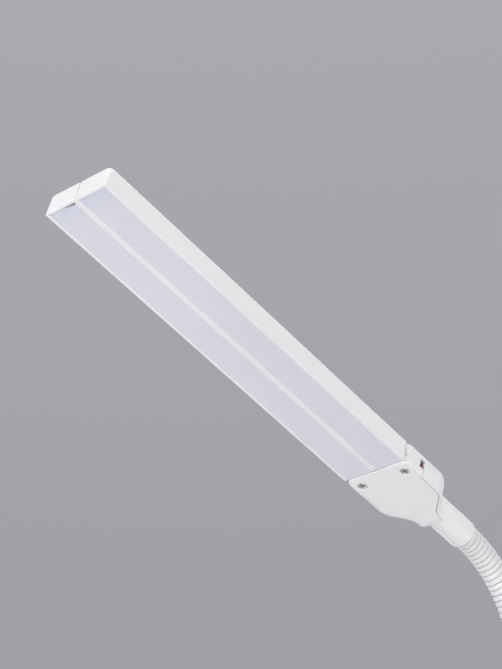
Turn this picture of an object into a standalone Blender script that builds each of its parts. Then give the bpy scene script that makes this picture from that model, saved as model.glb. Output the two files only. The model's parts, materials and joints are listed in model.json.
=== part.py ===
"""Clip-on reading lamp: two light bars that swing on a yoke, a bendable neck and a spring clip.

World frame: the origin is the middle of the upper jaw's gripping face, +Z is up and the head points along +X.
The head has its own frame: X runs from the bars' root end to their tip, Y to the right bar, and Z from the
diffusers to the back. All sizes are in millimetres and are turned into metres as the meshes are made.
"""
import math

import bmesh
import bpy
from mathutils import Matrix, Vector

MM = 0.001
GAP = 0.3                      # clearance between pieces that touch
MERGE = 0.000001               # metres
SCREW_SEGMENTS = 10
HOLE_SEGMENTS = 10
ROUND_SEGMENTS = 20
SIDES = (("left", -1), ("right", 1))

# Light bars, in the head frame
BAR_LENGTH = 290.0
BAR_WIDTH = 24.2
BAR_HEIGHT = 16.0
BAR_SPACING = 0.8              # slit between the two bars
BAR_WALL = 1.8                 # rim round the diffuser
BAR_ROOF = 1.8
BAR_TIP_RADIUS = 2.6
BAR_ROOT_RADIUS = 1.0
LEDGE = 1.2                    # step that the diffuser rests on
DIFFUSER_RECESS = 0.7
DIFFUSER_THICKNESS = 1.6
LED_COUNT = 19
LED_LENGTH = 3.5
LED_WIDTH = 2.8
LED_HEIGHT = 0.8
BOARD_THICKNESS = 1.2
BOARD_MARGIN = 1.5             # from the board to the shell's side walls

# Yoke, in the head frame
YOKE_FRONT = -1.0
YOKE_HEIGHT = BAR_HEIGHT
YOKE_WALL = 1.7
YOKE_ROOF = 1.8
YOKE_FRONT_RADIUS = 5.0
YOKE_REAR_RADIUS = 3.0
SIDE_LENGTH = 35.0             # straight side before the bell curve starts
SHOULDER_RADIUS = 16.0
THROAT_RADIUS = 14.0
REAR_HALF_WIDTH = 9.8
COVER_THICKNESS = 2.0
PIVOT_BEHIND_FRONT = 9.4
PIVOT_FROM_SIDE = 6.95
SLOT_BEHIND_PIVOT = 9.6        # side opening that lets the tongue's corner sweep round
HINGE_LOW = 5.7                # the hinge opening's lowest and highest level
HINGE_HIGH = BAR_HEIGHT - 3.6
BOSS_RADIUS = 2.9
CHEEK_RADIUS = 6.8
CHEEK_DROP = 0.9               # from the roof's underside down to the cheek's face

# Hinge arm
TONGUE_BEHIND_PIVOT = 5.1
TONGUE_INNER_WIDTH = 7.15      # from the pivot towards the lamp's middle
ARM_REACH = 24.0               # how far the arm runs into the bar
ARM_SCREW_RADIUS = 1.0
WASHER_THICKNESS = 0.6

# Screws
PIVOT_SCREW_RADIUS = 1.25
PIVOT_HEAD_RADIUS = 2.9
PIVOT_HEAD_HEIGHT = 1.2
SCREW_RECESS_RADIUS = 3.5
SCREW_RECESS_DEPTH = 0.9       # from the cover's face to the screw's head
COVER_SCREW_RADIUS = 1.2
COVER_SCREW_HEAD = 2.6

# Collar and neck
COLLAR_RADIUS = 10.25
COLLAR_AXIS_HEIGHT = 12.2
COLLAR_END = -98.5
COLLAR_EDGE = 2.2
FERRULE_RADIUS = 7.5
NECK_RADIUS = 8.6
HEAD_TILT = math.radians(16.2)
NECK_ARC_START = COLLAR_END - 4.5
NECK_ARC_RADIUS = 82.0
TOP_JOINT = COLLAR_END - 7.5
NECK_LINKS = 11
NECK_PITCH = 35.3
BALL_RADIUS = 5.6
CUP_CLEARANCE = 0.7
CUP_RADIUS = BALL_RADIUS + CUP_CLEARANCE
STEM_RADIUS = 3.6
WIRE_BORE = 2.2
CUP_LIP_ANGLE = math.radians(15)
SHOULDER_DROP = 9.0            # from a ball's middle down to its link's shoulder
STEM_DROP = 7.2
LINK_SEGMENTS = 12

# Clip, in the world frame
CLIP_WIDTH = 44.0
CLIP_TOP = 26.0
JAW_TIP = 24.0
HANDLE_END = -97.0
PIVOT_X = -44.0
PIVOT_Z = -5.0
PIN_RADIUS = 2.0
HUB_RADIUS = 7.0
EAR_THICKNESS = 3.7
CLIP_REAR_DROP = 5.5           # the handle's rear edge below the top face
HANDLE_THICKNESS = 11.5
NECK_X = PIVOT_X
NECK_BASE_HEIGHT = CLIP_TOP + 19.0   # height of the lowest neck joint
BASE_TUBE_RADIUS = 8.0
PAD_LENGTH = 34.0
PAD_MARGIN = 3.0               # from the pad to the jaw's side
PAD_WIDTH = CLIP_WIDTH - 2 * PAD_MARGIN
PAD_THICKNESS = 3.0
JAW_REST_GAP = 2.4             # between the pads when the clip holds nothing
TUBE_GROOVE_X = -27.0
TUBE_GROOVE_RADIUS = 8.0
CAVITY_FLOOR = 11.0
LID_THICKNESS = 2.0
LID_FRONT = -5.0
LID_REAR = -62.0
LID_MARGIN = 2.0
LID_WIDTH = CLIP_WIDTH - 2 * LID_MARGIN
CAVITY_INSET = 2.0             # ledge that the lid rests on
BUTTON_X = -21.5
BUTTON_RADIUS = 4.0
BUTTON_FLANGE = 0.6            # keeps a button under the cover
BUTTON_PROUD = 1.0
BUTTON_SPACING = LID_WIDTH / 2 - CAVITY_INSET - BUTTON_RADIUS - BUTTON_FLANGE - 0.4
BOARD_LOW = CLIP_TOP - 8.4     # underside of the control board
HANDLE_ANGLE = math.radians(30)
HANDLE_LENGTH = 56.0
SPRING_RADIUS = 4.6
SPRING_WIRE = 0.9
SPRING_TURNS = 5
INLET_X = -31.0
INLET_Z = BOARD_LOW - 3.3

# Places worked out from the sizes above
BAR_INNER = BAR_SPACING / 2
BAR_OUTER = BAR_INNER + BAR_WIDTH
DIAGONAL = math.sqrt(0.5)
SHOULDER_CENTRE = (YOKE_FRONT - SIDE_LENGTH, BAR_OUTER - SHOULDER_RADIUS)
FLANK_LENGTH = (BAR_OUTER - REAR_HALF_WIDTH - (SHOULDER_RADIUS + THROAT_RADIUS) * (1 - DIAGONAL))
THROAT_X = SHOULDER_CENTRE[0] - (SHOULDER_RADIUS + THROAT_RADIUS) * DIAGONAL - FLANK_LENGTH
YOKE_REAR = THROAT_X - YOKE_REAR_RADIUS
PIVOT_ALONG = YOKE_FRONT - PIVOT_BEHIND_FRONT
PIVOT_ACROSS = BAR_OUTER - PIVOT_FROM_SIDE
SEAT_LEVEL = DIFFUSER_RECESS + DIFFUSER_THICKNESS + GAP
TONGUE_LOW = HINGE_LOW + GAP
TONGUE_HIGH = HINGE_HIGH - GAP
TONGUE_REAR = PIVOT_ALONG - TONGUE_BEHIND_PIVOT
TONGUE_INNER = PIVOT_ACROSS - TONGUE_INNER_WIDTH
SLOT_REAR = PIVOT_ALONG - SLOT_BEHIND_PIVOT
ARM_OUTER = BAR_OUTER - BAR_WALL - LEDGE - GAP
ARM_SCREWS = (ARM_REACH * 0.35, ARM_REACH * 0.75)
ARM_SCREW_ACROSS = (TONGUE_INNER + ARM_OUTER) / 2
SCREW_FLOOR = SCREW_RECESS_DEPTH + PIVOT_HEAD_HEIGHT + GAP
WASHER_RADIUS = PIVOT_FROM_SIDE - YOKE_WALL - GAP
JAW_FACE = PAD_THICKNESS + GAP             # underside of the upper jaw above its pad
LOWER_FACE = -(PAD_THICKNESS + GAP + JAW_REST_GAP)    # top of the lower jaw under its pad
EAR_INNER = CLIP_WIDTH / 2 - EAR_THICKNESS
LID_LOW = CLIP_TOP - LID_THICKNESS
BUTTONS = (("brightness_button", -BUTTON_SPACING), ("power_button", 0.0), ("colour_button", BUTTON_SPACING))

MATERIAL_VALUES = {
    "white_plastic": ((0.83, 0.83, 0.84), 0.42, 0.0),
    "diffuser_plastic": ((0.70, 0.71, 0.79), 0.38, 0.0),
    "board_white": ((0.80, 0.80, 0.78), 0.5, 0.0),
    "board_green": ((0.03, 0.17, 0.08), 0.5, 0.0),
    "screw_steel": ((0.50, 0.50, 0.51), 0.35, 1.0),
    "wire_jacket": ((0.12, 0.05, 0.035), 0.55, 0.0),
    "neck_sleeve": ((0.78, 0.77, 0.78), 0.5, 0.0),
    "pad_rubber": ((0.23, 0.23, 0.24), 0.85, 0.0),
    "button_grey": ((0.55, 0.55, 0.57), 0.5, 0.0),
    "washer_nylon": ((0.75, 0.74, 0.70), 0.5, 0.0),
}


# ---------------------------------------------------------------- helpers

def clear_scene():
    for obj in list(bpy.data.objects):
        bpy.data.objects.remove(obj)


def make_materials():
    made = {}
    for name, (colour, roughness, metallic) in MATERIAL_VALUES.items():
        material = bpy.data.materials.new(name)
        material.use_nodes = True
        shader = material.node_tree.nodes["Principled BSDF"]
        shader.inputs["Base Color"].default_value = (*colour, 1.0)
        shader.inputs["Roughness"].default_value = roughness
        shader.inputs["Metallic"].default_value = metallic
        material.diffuse_color = (*colour, 1.0)
        made[name] = material
    return made


class Group:
    """A body of the lamp: an empty on its joint, with meshes written in the empty's parent frame."""

    def __init__(self, name, origin=(0, 0, 0), parent=None):
        self.origin = Vector(origin) * MM
        self.empty = bpy.data.objects.new(name, None)
        bpy.context.scene.collection.objects.link(self.empty)
        self.empty.location = self.origin
        self.empty.empty_display_size = 10 * MM
        if parent:
            self.empty.parent = parent


def link_object(name, bm, group):
    bmesh.ops.remove_doubles(bm, verts=bm.verts, dist=MERGE)
    bmesh.ops.recalc_face_normals(bm, faces=bm.faces)
    mesh = bpy.data.meshes.new(name)
    bm.to_mesh(mesh)
    bm.free()
    obj = bpy.data.objects.new(name, mesh)
    bpy.context.scene.collection.objects.link(obj)
    obj.parent = group.empty
    obj.location = -group.origin
    return obj


def piece(name, bm, material, group):
    obj = link_object(name, bm, group)
    obj.data.materials.append(MATERIALS[material])
    return obj


def smooth(obj, angle=35):
    obj.data.shade_smooth()
    obj.data.set_sharp_from_angle(angle=math.radians(angle))


def boolean(obj, bm, group, operation, solver):
    tool = link_object(f"{obj.name}_tool_{len(obj.modifiers)}", bm, group)
    tool.hide_render = True
    tool.display_type = "WIRE"
    modifier = obj.modifiers.new(operation.title(), "BOOLEAN")
    modifier.operation = operation
    modifier.object = tool
    modifier.solver = solver


def cut(obj, bm, group, solver="EXACT"):
    boolean(obj, bm, group, "DIFFERENCE", solver)


def add(obj, bm, group, solver="EXACT"):
    boolean(obj, bm, group, "UNION", solver)


def join_rings(bm, rings):
    """Walls between neighbouring rings of vertices; a ring of one vertex is a pole."""
    for low, high in rings:
        count = max(len(low), len(high))
        if count == 1:
            continue
        for i in range(count):
            j = (i + 1) % count
            corners = [low[i % len(low)], low[j % len(low)], high[j % len(high)], high[i % len(high)]]
            bm.faces.new(list(dict.fromkeys(corners)))


def prism(bm, outline, low, high, axis="z"):
    """Extrude an outline of (a, b) points along an axis; for y the points are (x, z), for x they are (y, z)."""
    order = {"z": lambda a, b, c: (a, b, c), "y": lambda a, b, c: (a, c, b), "x": lambda a, b, c: (c, a, b)}
    place = order[axis]
    floor = [bm.verts.new(Vector(place(a, b, low)) * MM) for a, b in outline]
    roof = [bm.verts.new(Vector(place(a, b, high)) * MM) for a, b in outline]
    join_rings(bm, [(floor, roof)])
    bm.faces.new(floor)
    bm.faces.new(roof)


def box(bm, x, y, z):
    prism(bm, ((x[0], y[0]), (x[1], y[0]), (x[1], y[1]), (x[0], y[1])), z[0], z[1])


def lathe(bm, profile, segments=24, place=None):
    """Turn a closed (radius, height) profile round the local Z axis; points on the axis become poles."""
    place = place or Matrix.Identity(4)
    rings = []
    for radius, height in profile:
        count = segments if radius > 0 else 1
        turns = [2 * math.pi * (i + 0.5) / segments for i in range(count)]
        points = [place @ Vector((radius * math.cos(t), radius * math.sin(t), height)) for t in turns]
        rings.append([bm.verts.new(point * MM) for point in points])
    pairs = list(zip(rings, rings[1:]))
    if profile[0][0] > 0 or profile[-1][0] > 0:
        pairs.append((rings[-1], rings[0]))
    join_rings(bm, pairs)


def cylinder(bm, radius, low, high, place=None, segments=24):
    lathe(bm, ((0, low), (radius, low), (radius, high), (0, high)), segments, place)


def standing(x, y):
    return Matrix.Translation((x, y, 0))


def lying(x, z):
    """Local Z runs along +Y through the point (x, z)."""
    return Matrix.Translation((x, 0, z)) @ Matrix.Rotation(math.radians(-90), 4, "X")


def collar_axis():
    """Local Z runs along the head's -X at the collar's height, measured from the bars' root."""
    return Matrix.Translation((0, 0, COLLAR_AXIS_HEIGHT)) @ Matrix.Rotation(math.radians(-90), 4, "Y")


def arc(centre, radius, start, end, steps):
    turns = [math.radians(start + (end - start) * i / steps) for i in range(steps + 1)]
    return [(centre[0] + radius * math.cos(t), centre[1] + radius * math.sin(t)) for t in turns]


def rounded(corners, steps=3):
    """Replace each (x, y, radius) corner by an arc that is tangent to both of its sides."""
    outline = []
    for index, (x, y, radius) in enumerate(corners):
        here = Vector((x, y))
        before = Vector(corners[index - 1][:2]) - here
        after = Vector(corners[(index + 1) % len(corners)][:2]) - here
        if radius <= 0:
            outline.append((x, y))
            continue
        before.normalize()
        after.normalize()
        half = before.angle(after) / 2
        reach = radius / math.tan(half)
        centre = here + (before + after).normalized() * (radius / math.sin(half))
        first = here + before * reach - centre
        sweep = first.angle_signed(here + after * reach - centre)
        for step in range(steps + 1):
            spoke = first.copy()
            spoke.rotate(Matrix.Rotation(-sweep * step / steps, 2))
            outline.append(tuple(centre + spoke))
    return outline


def rectangle(x, y, radius, steps=3):
    return rounded(((x[0], y[0], radius), (x[1], y[0], radius), (x[1], y[1], radius), (x[0], y[1], radius)), steps)


def sided(outline, side):
    return [(x, y * side) for x, y in outline]


def sweep(bm, path, radius, sides=6):
    """A round tube along a path of points, with flat ends."""
    points = [Vector(point) for point in path]
    rings = []
    normal = Vector((0, 1, 0))
    for index, point in enumerate(points):
        ahead = points[min(index + 1, len(points) - 1)] - points[max(index - 1, 0)]
        ahead.normalize()
        normal = (normal - ahead * normal.dot(ahead)).normalized()
        other = ahead.cross(normal)
        turns = [2 * math.pi * i / sides for i in range(sides)]
        spokes = [normal * math.cos(t) + other * math.sin(t) for t in turns]
        rings.append([bm.verts.new((point + spoke * radius) * MM) for spoke in spokes])
    join_rings(bm, zip(rings, rings[1:]))
    bm.faces.new(rings[0])
    bm.faces.new(rings[-1])


def smooth_path(knots, steps):
    """A Catmull-Rom curve through the knots."""
    knots = [Vector(knot) for knot in knots]
    ends = [2 * knots[0] - knots[1]] + knots + [2 * knots[-1] - knots[-2]]
    path = []
    for a, b, c, d in zip(ends, ends[1:], ends[2:], ends[3:]):
        for step in range(steps):
            t = step / steps
            path.append(0.5 * (2 * b + (c - a) * t + (2 * a - 5 * b + 4 * c - d) * t**2
                               + (3 * b - a - 3 * c + d) * t**3))
    return path + [knots[-1]]


def pan_screw(name, head_low, head_height, head_radius, shank_radius, tip, place, group, recess=True):
    """A screw that points up its local Z, with a domed head below and a cross recess."""
    bm = bmesh.new()
    shoulder = head_low + head_height
    profile = ((0, head_low), (head_radius * 0.7, head_low), (head_radius, head_low + head_height * 0.45),
               (head_radius, shoulder), (shank_radius, shoulder), (shank_radius, tip - shank_radius), (0, tip))
    lathe(bm, profile, SCREW_SEGMENTS, place)
    screw = piece(name, bm, "screw_steel", group)
    if recess:
        tool = bmesh.new()
        arm, half = head_radius * 0.62, head_radius * 0.14
        cross = ((arm, -half), (arm, half), (half, half), (half, arm), (-half, arm), (-half, half),
                 (-arm, half), (-arm, -half), (-half, -half), (-half, -arm), (half, -arm), (half, -half))
        prism(tool, cross, head_low - 1, head_low + head_height * 0.6)
        bmesh.ops.transform(tool, matrix=Matrix.LocRotScale(place.translation * MM, None, None), verts=tool.verts)
        cut(screw, tool, group)
    smooth(screw)


# ---------------------------------------------------------------- light bars

def bar_shell(side_name, side, group):
    tip_radius, root_radius = BAR_TIP_RADIUS, BAR_ROOT_RADIUS
    outline = rounded(((0, BAR_INNER, root_radius), (BAR_LENGTH, BAR_INNER, tip_radius),
                       (BAR_LENGTH, BAR_OUTER, tip_radius), (0, BAR_OUTER, root_radius)))
    bm = bmesh.new()
    prism(bm, sided(outline, side), 0, BAR_HEIGHT)
    shell = piece(f"{side_name}_bar_shell", bm, "white_plastic", group)

    seat = bmesh.new()
    low, high = BAR_INNER + BAR_WALL, BAR_OUTER - BAR_WALL
    box(seat, (-1, BAR_LENGTH - BAR_WALL), sorted((low * side, high * side)), (-1, SEAT_LEVEL))
    cut(shell, seat, group)

    hollow = bmesh.new()
    end = BAR_LENGTH - BAR_WALL - LEDGE
    step = ARM_REACH + 2
    roof = BAR_HEIGHT - BAR_ROOF
    profile = ((BAR_WALL, SEAT_LEVEL - 1), (end, SEAT_LEVEL - 1), (end, roof), (step, roof),
               (step, HINGE_HIGH), (BAR_WALL, HINGE_HIGH))
    across = sorted(((low + LEDGE) * side, (high - LEDGE) * side))
    prism(hollow, profile, across[0], across[1], "y")
    cut(shell, hollow, group)

    mouth = bmesh.new()
    across = sorted(((TONGUE_INNER - GAP) * side, (ARM_OUTER + GAP * 0.7) * side))
    box(mouth, (-1, BAR_WALL + 1), across, (HINGE_LOW, HINGE_HIGH - 0.1))
    cut(shell, mouth, group)

    pilots = bmesh.new()
    for along in ARM_SCREWS:
        cylinder(pilots, ARM_SCREW_RADIUS + GAP, HINGE_HIGH - 1, BAR_HEIGHT - 0.8,
                 standing(along, ARM_SCREW_ACROSS * side), HOLE_SEGMENTS)
    cut(shell, pilots, group)


def diffuser(side_name, side, group):
    low, high = BAR_INNER + BAR_WALL + GAP, BAR_OUTER - BAR_WALL - GAP
    bm = bmesh.new()
    outline = rectangle((GAP, BAR_LENGTH - BAR_WALL - GAP), (low, high), 0.6, 2)
    prism(bm, sided(outline, side), DIFFUSER_RECESS, DIFFUSER_RECESS + DIFFUSER_THICKNESS)
    piece(f"{side_name}_diffuser", bm, "diffuser_plastic", group)


def led_board(side_name, side, group):
    top = BAR_HEIGHT - BAR_ROOF - GAP
    low = top - BOARD_THICKNESS
    start, end = ARM_REACH + 4, BAR_LENGTH - BAR_WALL - LEDGE - BOARD_MARGIN
    inset = BAR_WALL + LEDGE + BOARD_MARGIN
    middle = (BAR_INNER + BAR_OUTER) / 2 * side
    bm = bmesh.new()
    box(bm, (start, end), sorted(((BAR_INNER + inset) * side, (BAR_OUTER - inset) * side)), (low, top))
    board = piece(f"{side_name}_led_board", bm, "board_white", group)
    leds = bmesh.new()
    pitch = (end - start) / LED_COUNT
    for index in range(LED_COUNT):
        x = start + pitch * (index + 0.5)
        box(leds, (x - LED_LENGTH / 2, x + LED_LENGTH / 2), (middle - LED_WIDTH / 2, middle + LED_WIDTH / 2),
            (low - LED_HEIGHT, low + BOARD_THICKNESS / 2))
    add(board, leds, group)


def hinge_arm(side_name, side, group):
    outer = BAR_OUTER - GAP
    outline = rounded(((ARM_REACH, TONGUE_INNER, 2), (ARM_REACH, ARM_OUTER, 2), (-GAP, ARM_OUTER, 0),
                       (-GAP, outer, 0), (TONGUE_REAR, outer, 1), (TONGUE_REAR, TONGUE_INNER, 4)))
    bm = bmesh.new()
    prism(bm, sided(outline, side), TONGUE_LOW, TONGUE_HIGH)
    arm = piece(f"{side_name}_hinge_arm", bm, "white_plastic", group)
    holes = bmesh.new()
    low, high = TONGUE_LOW - 1, TONGUE_HIGH + 1
    cylinder(holes, BOSS_RADIUS + GAP, low, high, standing(PIVOT_ALONG, PIVOT_ACROSS * side), 20)
    for along in ARM_SCREWS:
        cylinder(holes, ARM_SCREW_RADIUS + GAP, low, high, standing(along, ARM_SCREW_ACROSS * side), HOLE_SEGMENTS)
    cut(arm, holes, group)


def arm_screws(side_name, side, group):
    head = 1.4
    for number, along in enumerate(ARM_SCREWS, 1):
        pan_screw(f"{side_name}_arm_screw_{number}", TONGUE_LOW - GAP - head, head, 2.2, ARM_SCREW_RADIUS,
                  BAR_HEIGHT - 1.2, standing(along, ARM_SCREW_ACROSS * side), group)


def friction_washer(side_name, side, group):
    low = TONGUE_HIGH + GAP
    inner = BOSS_RADIUS + GAP
    bm = bmesh.new()
    profile = ((inner, low), (WASHER_RADIUS, low), (WASHER_RADIUS, low + WASHER_THICKNESS),
               (inner, low + WASHER_THICKNESS))
    lathe(bm, profile, 20, standing(PIVOT_ALONG, PIVOT_ACROSS * side))
    smooth(piece(f"{side_name}_friction_washer", bm, "washer_nylon", group))


def make_bar(side_name, side, group):
    bar_shell(side_name, side, group)
    diffuser(side_name, side, group)
    led_board(side_name, side, group)
    hinge_arm(side_name, side, group)
    arm_screws(side_name, side, group)


# ---------------------------------------------------------------- yoke

def bell_outline(inset, steps=3):
    """The yoke's plan: straight sides, then a shoulder and a throat at 45 degrees, down to the collar's width."""
    half = BAR_OUTER
    front, rear = YOKE_FRONT_RADIUS, YOKE_REAR_RADIUS
    right = arc((YOKE_FRONT - front, half - front), front - inset, 0, 90, steps)
    right += arc(SHOULDER_CENTRE, SHOULDER_RADIUS - inset, 90, 135, steps + 1)
    right += arc((THROAT_X, REAR_HALF_WIDTH + THROAT_RADIUS), THROAT_RADIUS + inset, -45, -90, steps + 1)
    right += arc((YOKE_REAR + rear, REAR_HALF_WIDTH - rear), rear - inset, 90, 180, steps)
    return right + [(x, -y) for x, y in reversed(right)]


def front_block(side, inner):
    """Plan of a hinge cheek: from the front edge back to the slot's end, with the yoke's rounded corner."""
    return sided(rounded(((SLOT_REAR + GAP, inner, 0), (YOKE_FRONT, inner, 0),
                          (YOKE_FRONT, BAR_OUTER, YOKE_FRONT_RADIUS), (SLOT_REAR + GAP, BAR_OUTER, 0))), side)


def yoke_upper_shell(group):
    bm = bmesh.new()
    prism(bm, bell_outline(0), 0.4, YOKE_HEIGHT)
    shell = piece("yoke_upper_shell", bm, "white_plastic", group)

    collar = bmesh.new()
    swell = -YOKE_FRONT + SIDE_LENGTH
    profile = ((0, swell - 6), (COLLAR_RADIUS * 0.45, swell - 2), (COLLAR_RADIUS * 0.8, swell + 8),
               (COLLAR_RADIUS, swell + 22), (COLLAR_RADIUS, -COLLAR_END - COLLAR_EDGE),
               (COLLAR_RADIUS - COLLAR_EDGE * 0.3, -COLLAR_END - COLLAR_EDGE * 0.3),
               (COLLAR_RADIUS - COLLAR_EDGE * 0.6, -COLLAR_END), (0, -COLLAR_END))
    lathe(collar, profile, 24, collar_axis())
    add(shell, collar, group)

    hollow = bmesh.new()
    prism(hollow, bell_outline(YOKE_WALL), -1, YOKE_HEIGHT - YOKE_ROOF)
    cut(shell, hollow, group)

    openings = bmesh.new()
    inner = TONGUE_INNER - 2 * GAP
    for _, side in SIDES:
        box(openings, (SLOT_REAR, 1), sorted((inner * side, (BAR_OUTER + 1) * side)), (-1, HINGE_HIGH))
    cut(shell, openings, group)

    lip = bmesh.new()
    box(lip, (SLOT_REAR, 1), (-inner - 1, inner + 1), (-1, COVER_THICKNESS + GAP))
    cut(shell, lip, group)

    roof = YOKE_HEIGHT - YOKE_ROOF
    bosses = bmesh.new()
    for _, side in SIDES:
        profile = ((0, TONGUE_LOW), (BOSS_RADIUS, TONGUE_LOW), (BOSS_RADIUS, roof - CHEEK_DROP),
                   (CHEEK_RADIUS, roof - CHEEK_DROP), (CHEEK_RADIUS, roof + GAP), (0, roof + GAP))
        lathe(bosses, profile, 20, standing(PIVOT_ALONG, PIVOT_ACROSS * side))
    add(shell, bosses, group)

    holes = bmesh.new()
    for _, side in SIDES:
        cylinder(holes, PIVOT_SCREW_RADIUS + GAP, TONGUE_LOW - 1, roof - 0.6,
                 standing(PIVOT_ALONG, PIVOT_ACROSS * side), 12)
    cylinder(holes, FERRULE_RADIUS + GAP, -YOKE_REAR - 4, -COLLAR_END + 1, collar_axis(), 24)
    cut(shell, holes, group)
    smooth(shell)


def yoke_lower_cover(group):
    bm = bmesh.new()
    prism(bm, bell_outline(YOKE_WALL + GAP), 0, COVER_THICKNESS)
    cover = piece("yoke_lower_cover", bm, "white_plastic", group)
    ears = bmesh.new()
    inner = TONGUE_INNER - GAP
    for _, side in SIDES:
        prism(ears, front_block(side, inner), 0, HINGE_LOW)
    add(cover, ears, group)
    middle = bmesh.new()
    box(middle, (YOKE_FRONT - YOKE_WALL - 3, YOKE_FRONT), (-inner - 1, inner + 1), (0, COVER_THICKNESS))
    add(cover, middle, group)
    recesses = bmesh.new()
    for _, side in SIDES:
        profile = ((0, -1), (SCREW_RECESS_RADIUS, -1), (SCREW_RECESS_RADIUS, SCREW_FLOOR),
                   (PIVOT_SCREW_RADIUS + 2 * GAP, SCREW_FLOOR), (PIVOT_SCREW_RADIUS + 2 * GAP, HINGE_LOW + 1),
                   (0, HINGE_LOW + 1))
        lathe(recesses, profile, 24, standing(PIVOT_ALONG, PIVOT_ACROSS * side))
    cut(cover, recesses, group)
    smooth(cover)


def pivot_screws(group):
    for side_name, side in SIDES:
        pan_screw(f"{side_name}_pivot_screw", SCREW_RECESS_DEPTH, PIVOT_HEAD_HEIGHT, PIVOT_HEAD_RADIUS,
                  PIVOT_SCREW_RADIUS, YOKE_HEIGHT - YOKE_ROOF - 1.2,
                  standing(PIVOT_ALONG, PIVOT_ACROSS * side), group)


def wire_pairs(group):
    """The pair of leads from each bar, led from behind the slot to the ferrule's bore."""
    behind = SLOT_REAR - 1.5
    for side_name, side in SIDES:
        outer = BAR_OUTER - YOKE_WALL - 2.3
        inner = REAR_HALF_WIDTH - YOKE_WALL - 1.1
        knots = ((behind, outer * side, 9.4), (behind - 4, (outer - 1.2) * side, 10.6),
                 (behind - 12, (outer + inner) / 2 * side, 9.4), (behind - 24, inner * side, 10.8),
                 (YOKE_REAR + 4, 2.4 * side, COLLAR_AXIS_HEIGHT))
        bm = bmesh.new()
        sweep(bm, smooth_path(knots, 3), 1.3)
        smooth(piece(f"{side_name}_wire_pair", bm, "wire_jacket", group))


# ---------------------------------------------------------------- neck

def neck_point(distance):
    """A point on the neck's middle line in the head frame, by its distance from where the bend starts."""
    angle = min(distance / NECK_ARC_RADIUS, math.pi / 2 - HEAD_TILT)
    straight = max(distance - NECK_ARC_RADIUS * angle, 0)
    x = NECK_ARC_START - NECK_ARC_RADIUS * math.sin(angle) - straight * math.cos(angle)
    z = COLLAR_AXIS_HEIGHT - NECK_ARC_RADIUS * (1 - math.cos(angle)) - straight * math.sin(angle)
    return Vector((x, 0, z))


def head_matrix():
    """Place the head so that its neck comes straight down onto the clip."""
    turn = Matrix.Rotation(-HEAD_TILT, 4, "Y")
    lowest = neck_point(NECK_ARC_START - TOP_JOINT + NECK_PITCH * NECK_LINKS)
    base = Vector((NECK_X, 0, NECK_BASE_HEIGHT))
    return Matrix.Translation((base - turn @ lowest) * MM) @ turn


def neck_joints(head):
    """The joint centres in the world frame, from the clip to the head."""
    start = NECK_ARC_START - TOP_JOINT
    centres = [head @ (neck_point(start + NECK_PITCH * k) * MM) for k in range(1, NECK_LINKS + 1)]
    top = head @ (Vector((TOP_JOINT, 0, COLLAR_AXIS_HEIGHT)) * MM)
    return [top, *centres][::-1]


def ball_profile(height):
    """From the shoulder over the stem and the ball to its bore, for a ball whose middle is at the height."""
    start = math.asin(STEM_RADIUS / BALL_RADIUS) - math.pi / 2
    end = math.acos(WIRE_BORE / BALL_RADIUS)
    steps = 4
    turns = [start + (end - start) * i / steps for i in range(steps + 1)]
    ball = [(BALL_RADIUS * math.cos(t), height + BALL_RADIUS * math.sin(t)) for t in turns]
    return [(NECK_RADIUS, height - SHOULDER_DROP), (STEM_RADIUS, height - STEM_DROP)] + ball


def cup_profile(height):
    """The cup's cavity from the bore down to its lip, for a ball whose middle is at the height."""
    start = math.acos(WIRE_BORE / CUP_RADIUS)
    steps = 4
    turns = [start - (start + CUP_LIP_ANGLE) * i / steps for i in range(steps + 1)]
    return [(CUP_RADIUS * math.cos(t), height + CUP_RADIUS * math.sin(t)) for t in turns]


def neck_link(name, length, group):
    bm = bmesh.new()
    lip = -CUP_RADIUS * math.sin(CUP_LIP_ANGLE)
    lathe(bm, [(NECK_RADIUS, lip)] + ball_profile(length) + cup_profile(0), LINK_SEGMENTS)
    smooth(piece(name, bm, "neck_sleeve", group), 50)


def base_ferrule(group):
    bm = bmesh.new()
    low = CAVITY_FLOOR - 2
    height = NECK_BASE_HEIGHT
    profile = [(WIRE_BORE, low), (BASE_TUBE_RADIUS, low), (BASE_TUBE_RADIUS, height - SHOULDER_DROP - 0.5)]
    lathe(bm, profile + ball_profile(height)[1:], 16, standing(NECK_X, 0))
    smooth(piece("neck_base_ferrule", bm, "screw_steel", group), 50)


def top_ferrule(group):
    bm = bmesh.new()
    lip = TOP_JOINT - CUP_RADIUS * math.sin(CUP_LIP_ANGLE)
    face = COLLAR_END - GAP
    cup = [(radius, -height) for radius, height in cup_profile(TOP_JOINT)]
    profile = [(NECK_RADIUS, -lip), (NECK_RADIUS, -face), (FERRULE_RADIUS, -face),
               (FERRULE_RADIUS, -YOKE_REAR + 4), (WIRE_BORE, -YOKE_REAR + 4)]
    lathe(bm, profile + cup, 16, collar_axis())
    smooth(piece("neck_top_ferrule", bm, "screw_steel", group), 50)


def make_neck(head):
    centres = neck_joints(head)
    for number, (low, high) in enumerate(zip(centres, centres[1:]), 1):
        group = Group(f"neck_joint_{number:02d}")
        along = high - low
        group.empty.location = low
        group.empty.rotation_mode = "QUATERNION"
        group.empty.rotation_quaternion = Vector((0, 0, 1)).rotation_difference(along)
        neck_link(f"neck_link_{number:02d}", along.length / MM, group)


# ---------------------------------------------------------------- clip

def clip_screws():
    """Places of the four screws that hold the lid: x, y and the level of the head's underside."""
    front, rear = LID_FRONT - 6, LID_REAR + 6
    across = LID_WIDTH / 2 - 6
    return [(f"{end}_{name}", x, across * side, level)
            for end, x, level in (("front", front, JAW_FACE + GAP), ("rear", rear, 6.4)) for name, side in SIDES]


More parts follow.
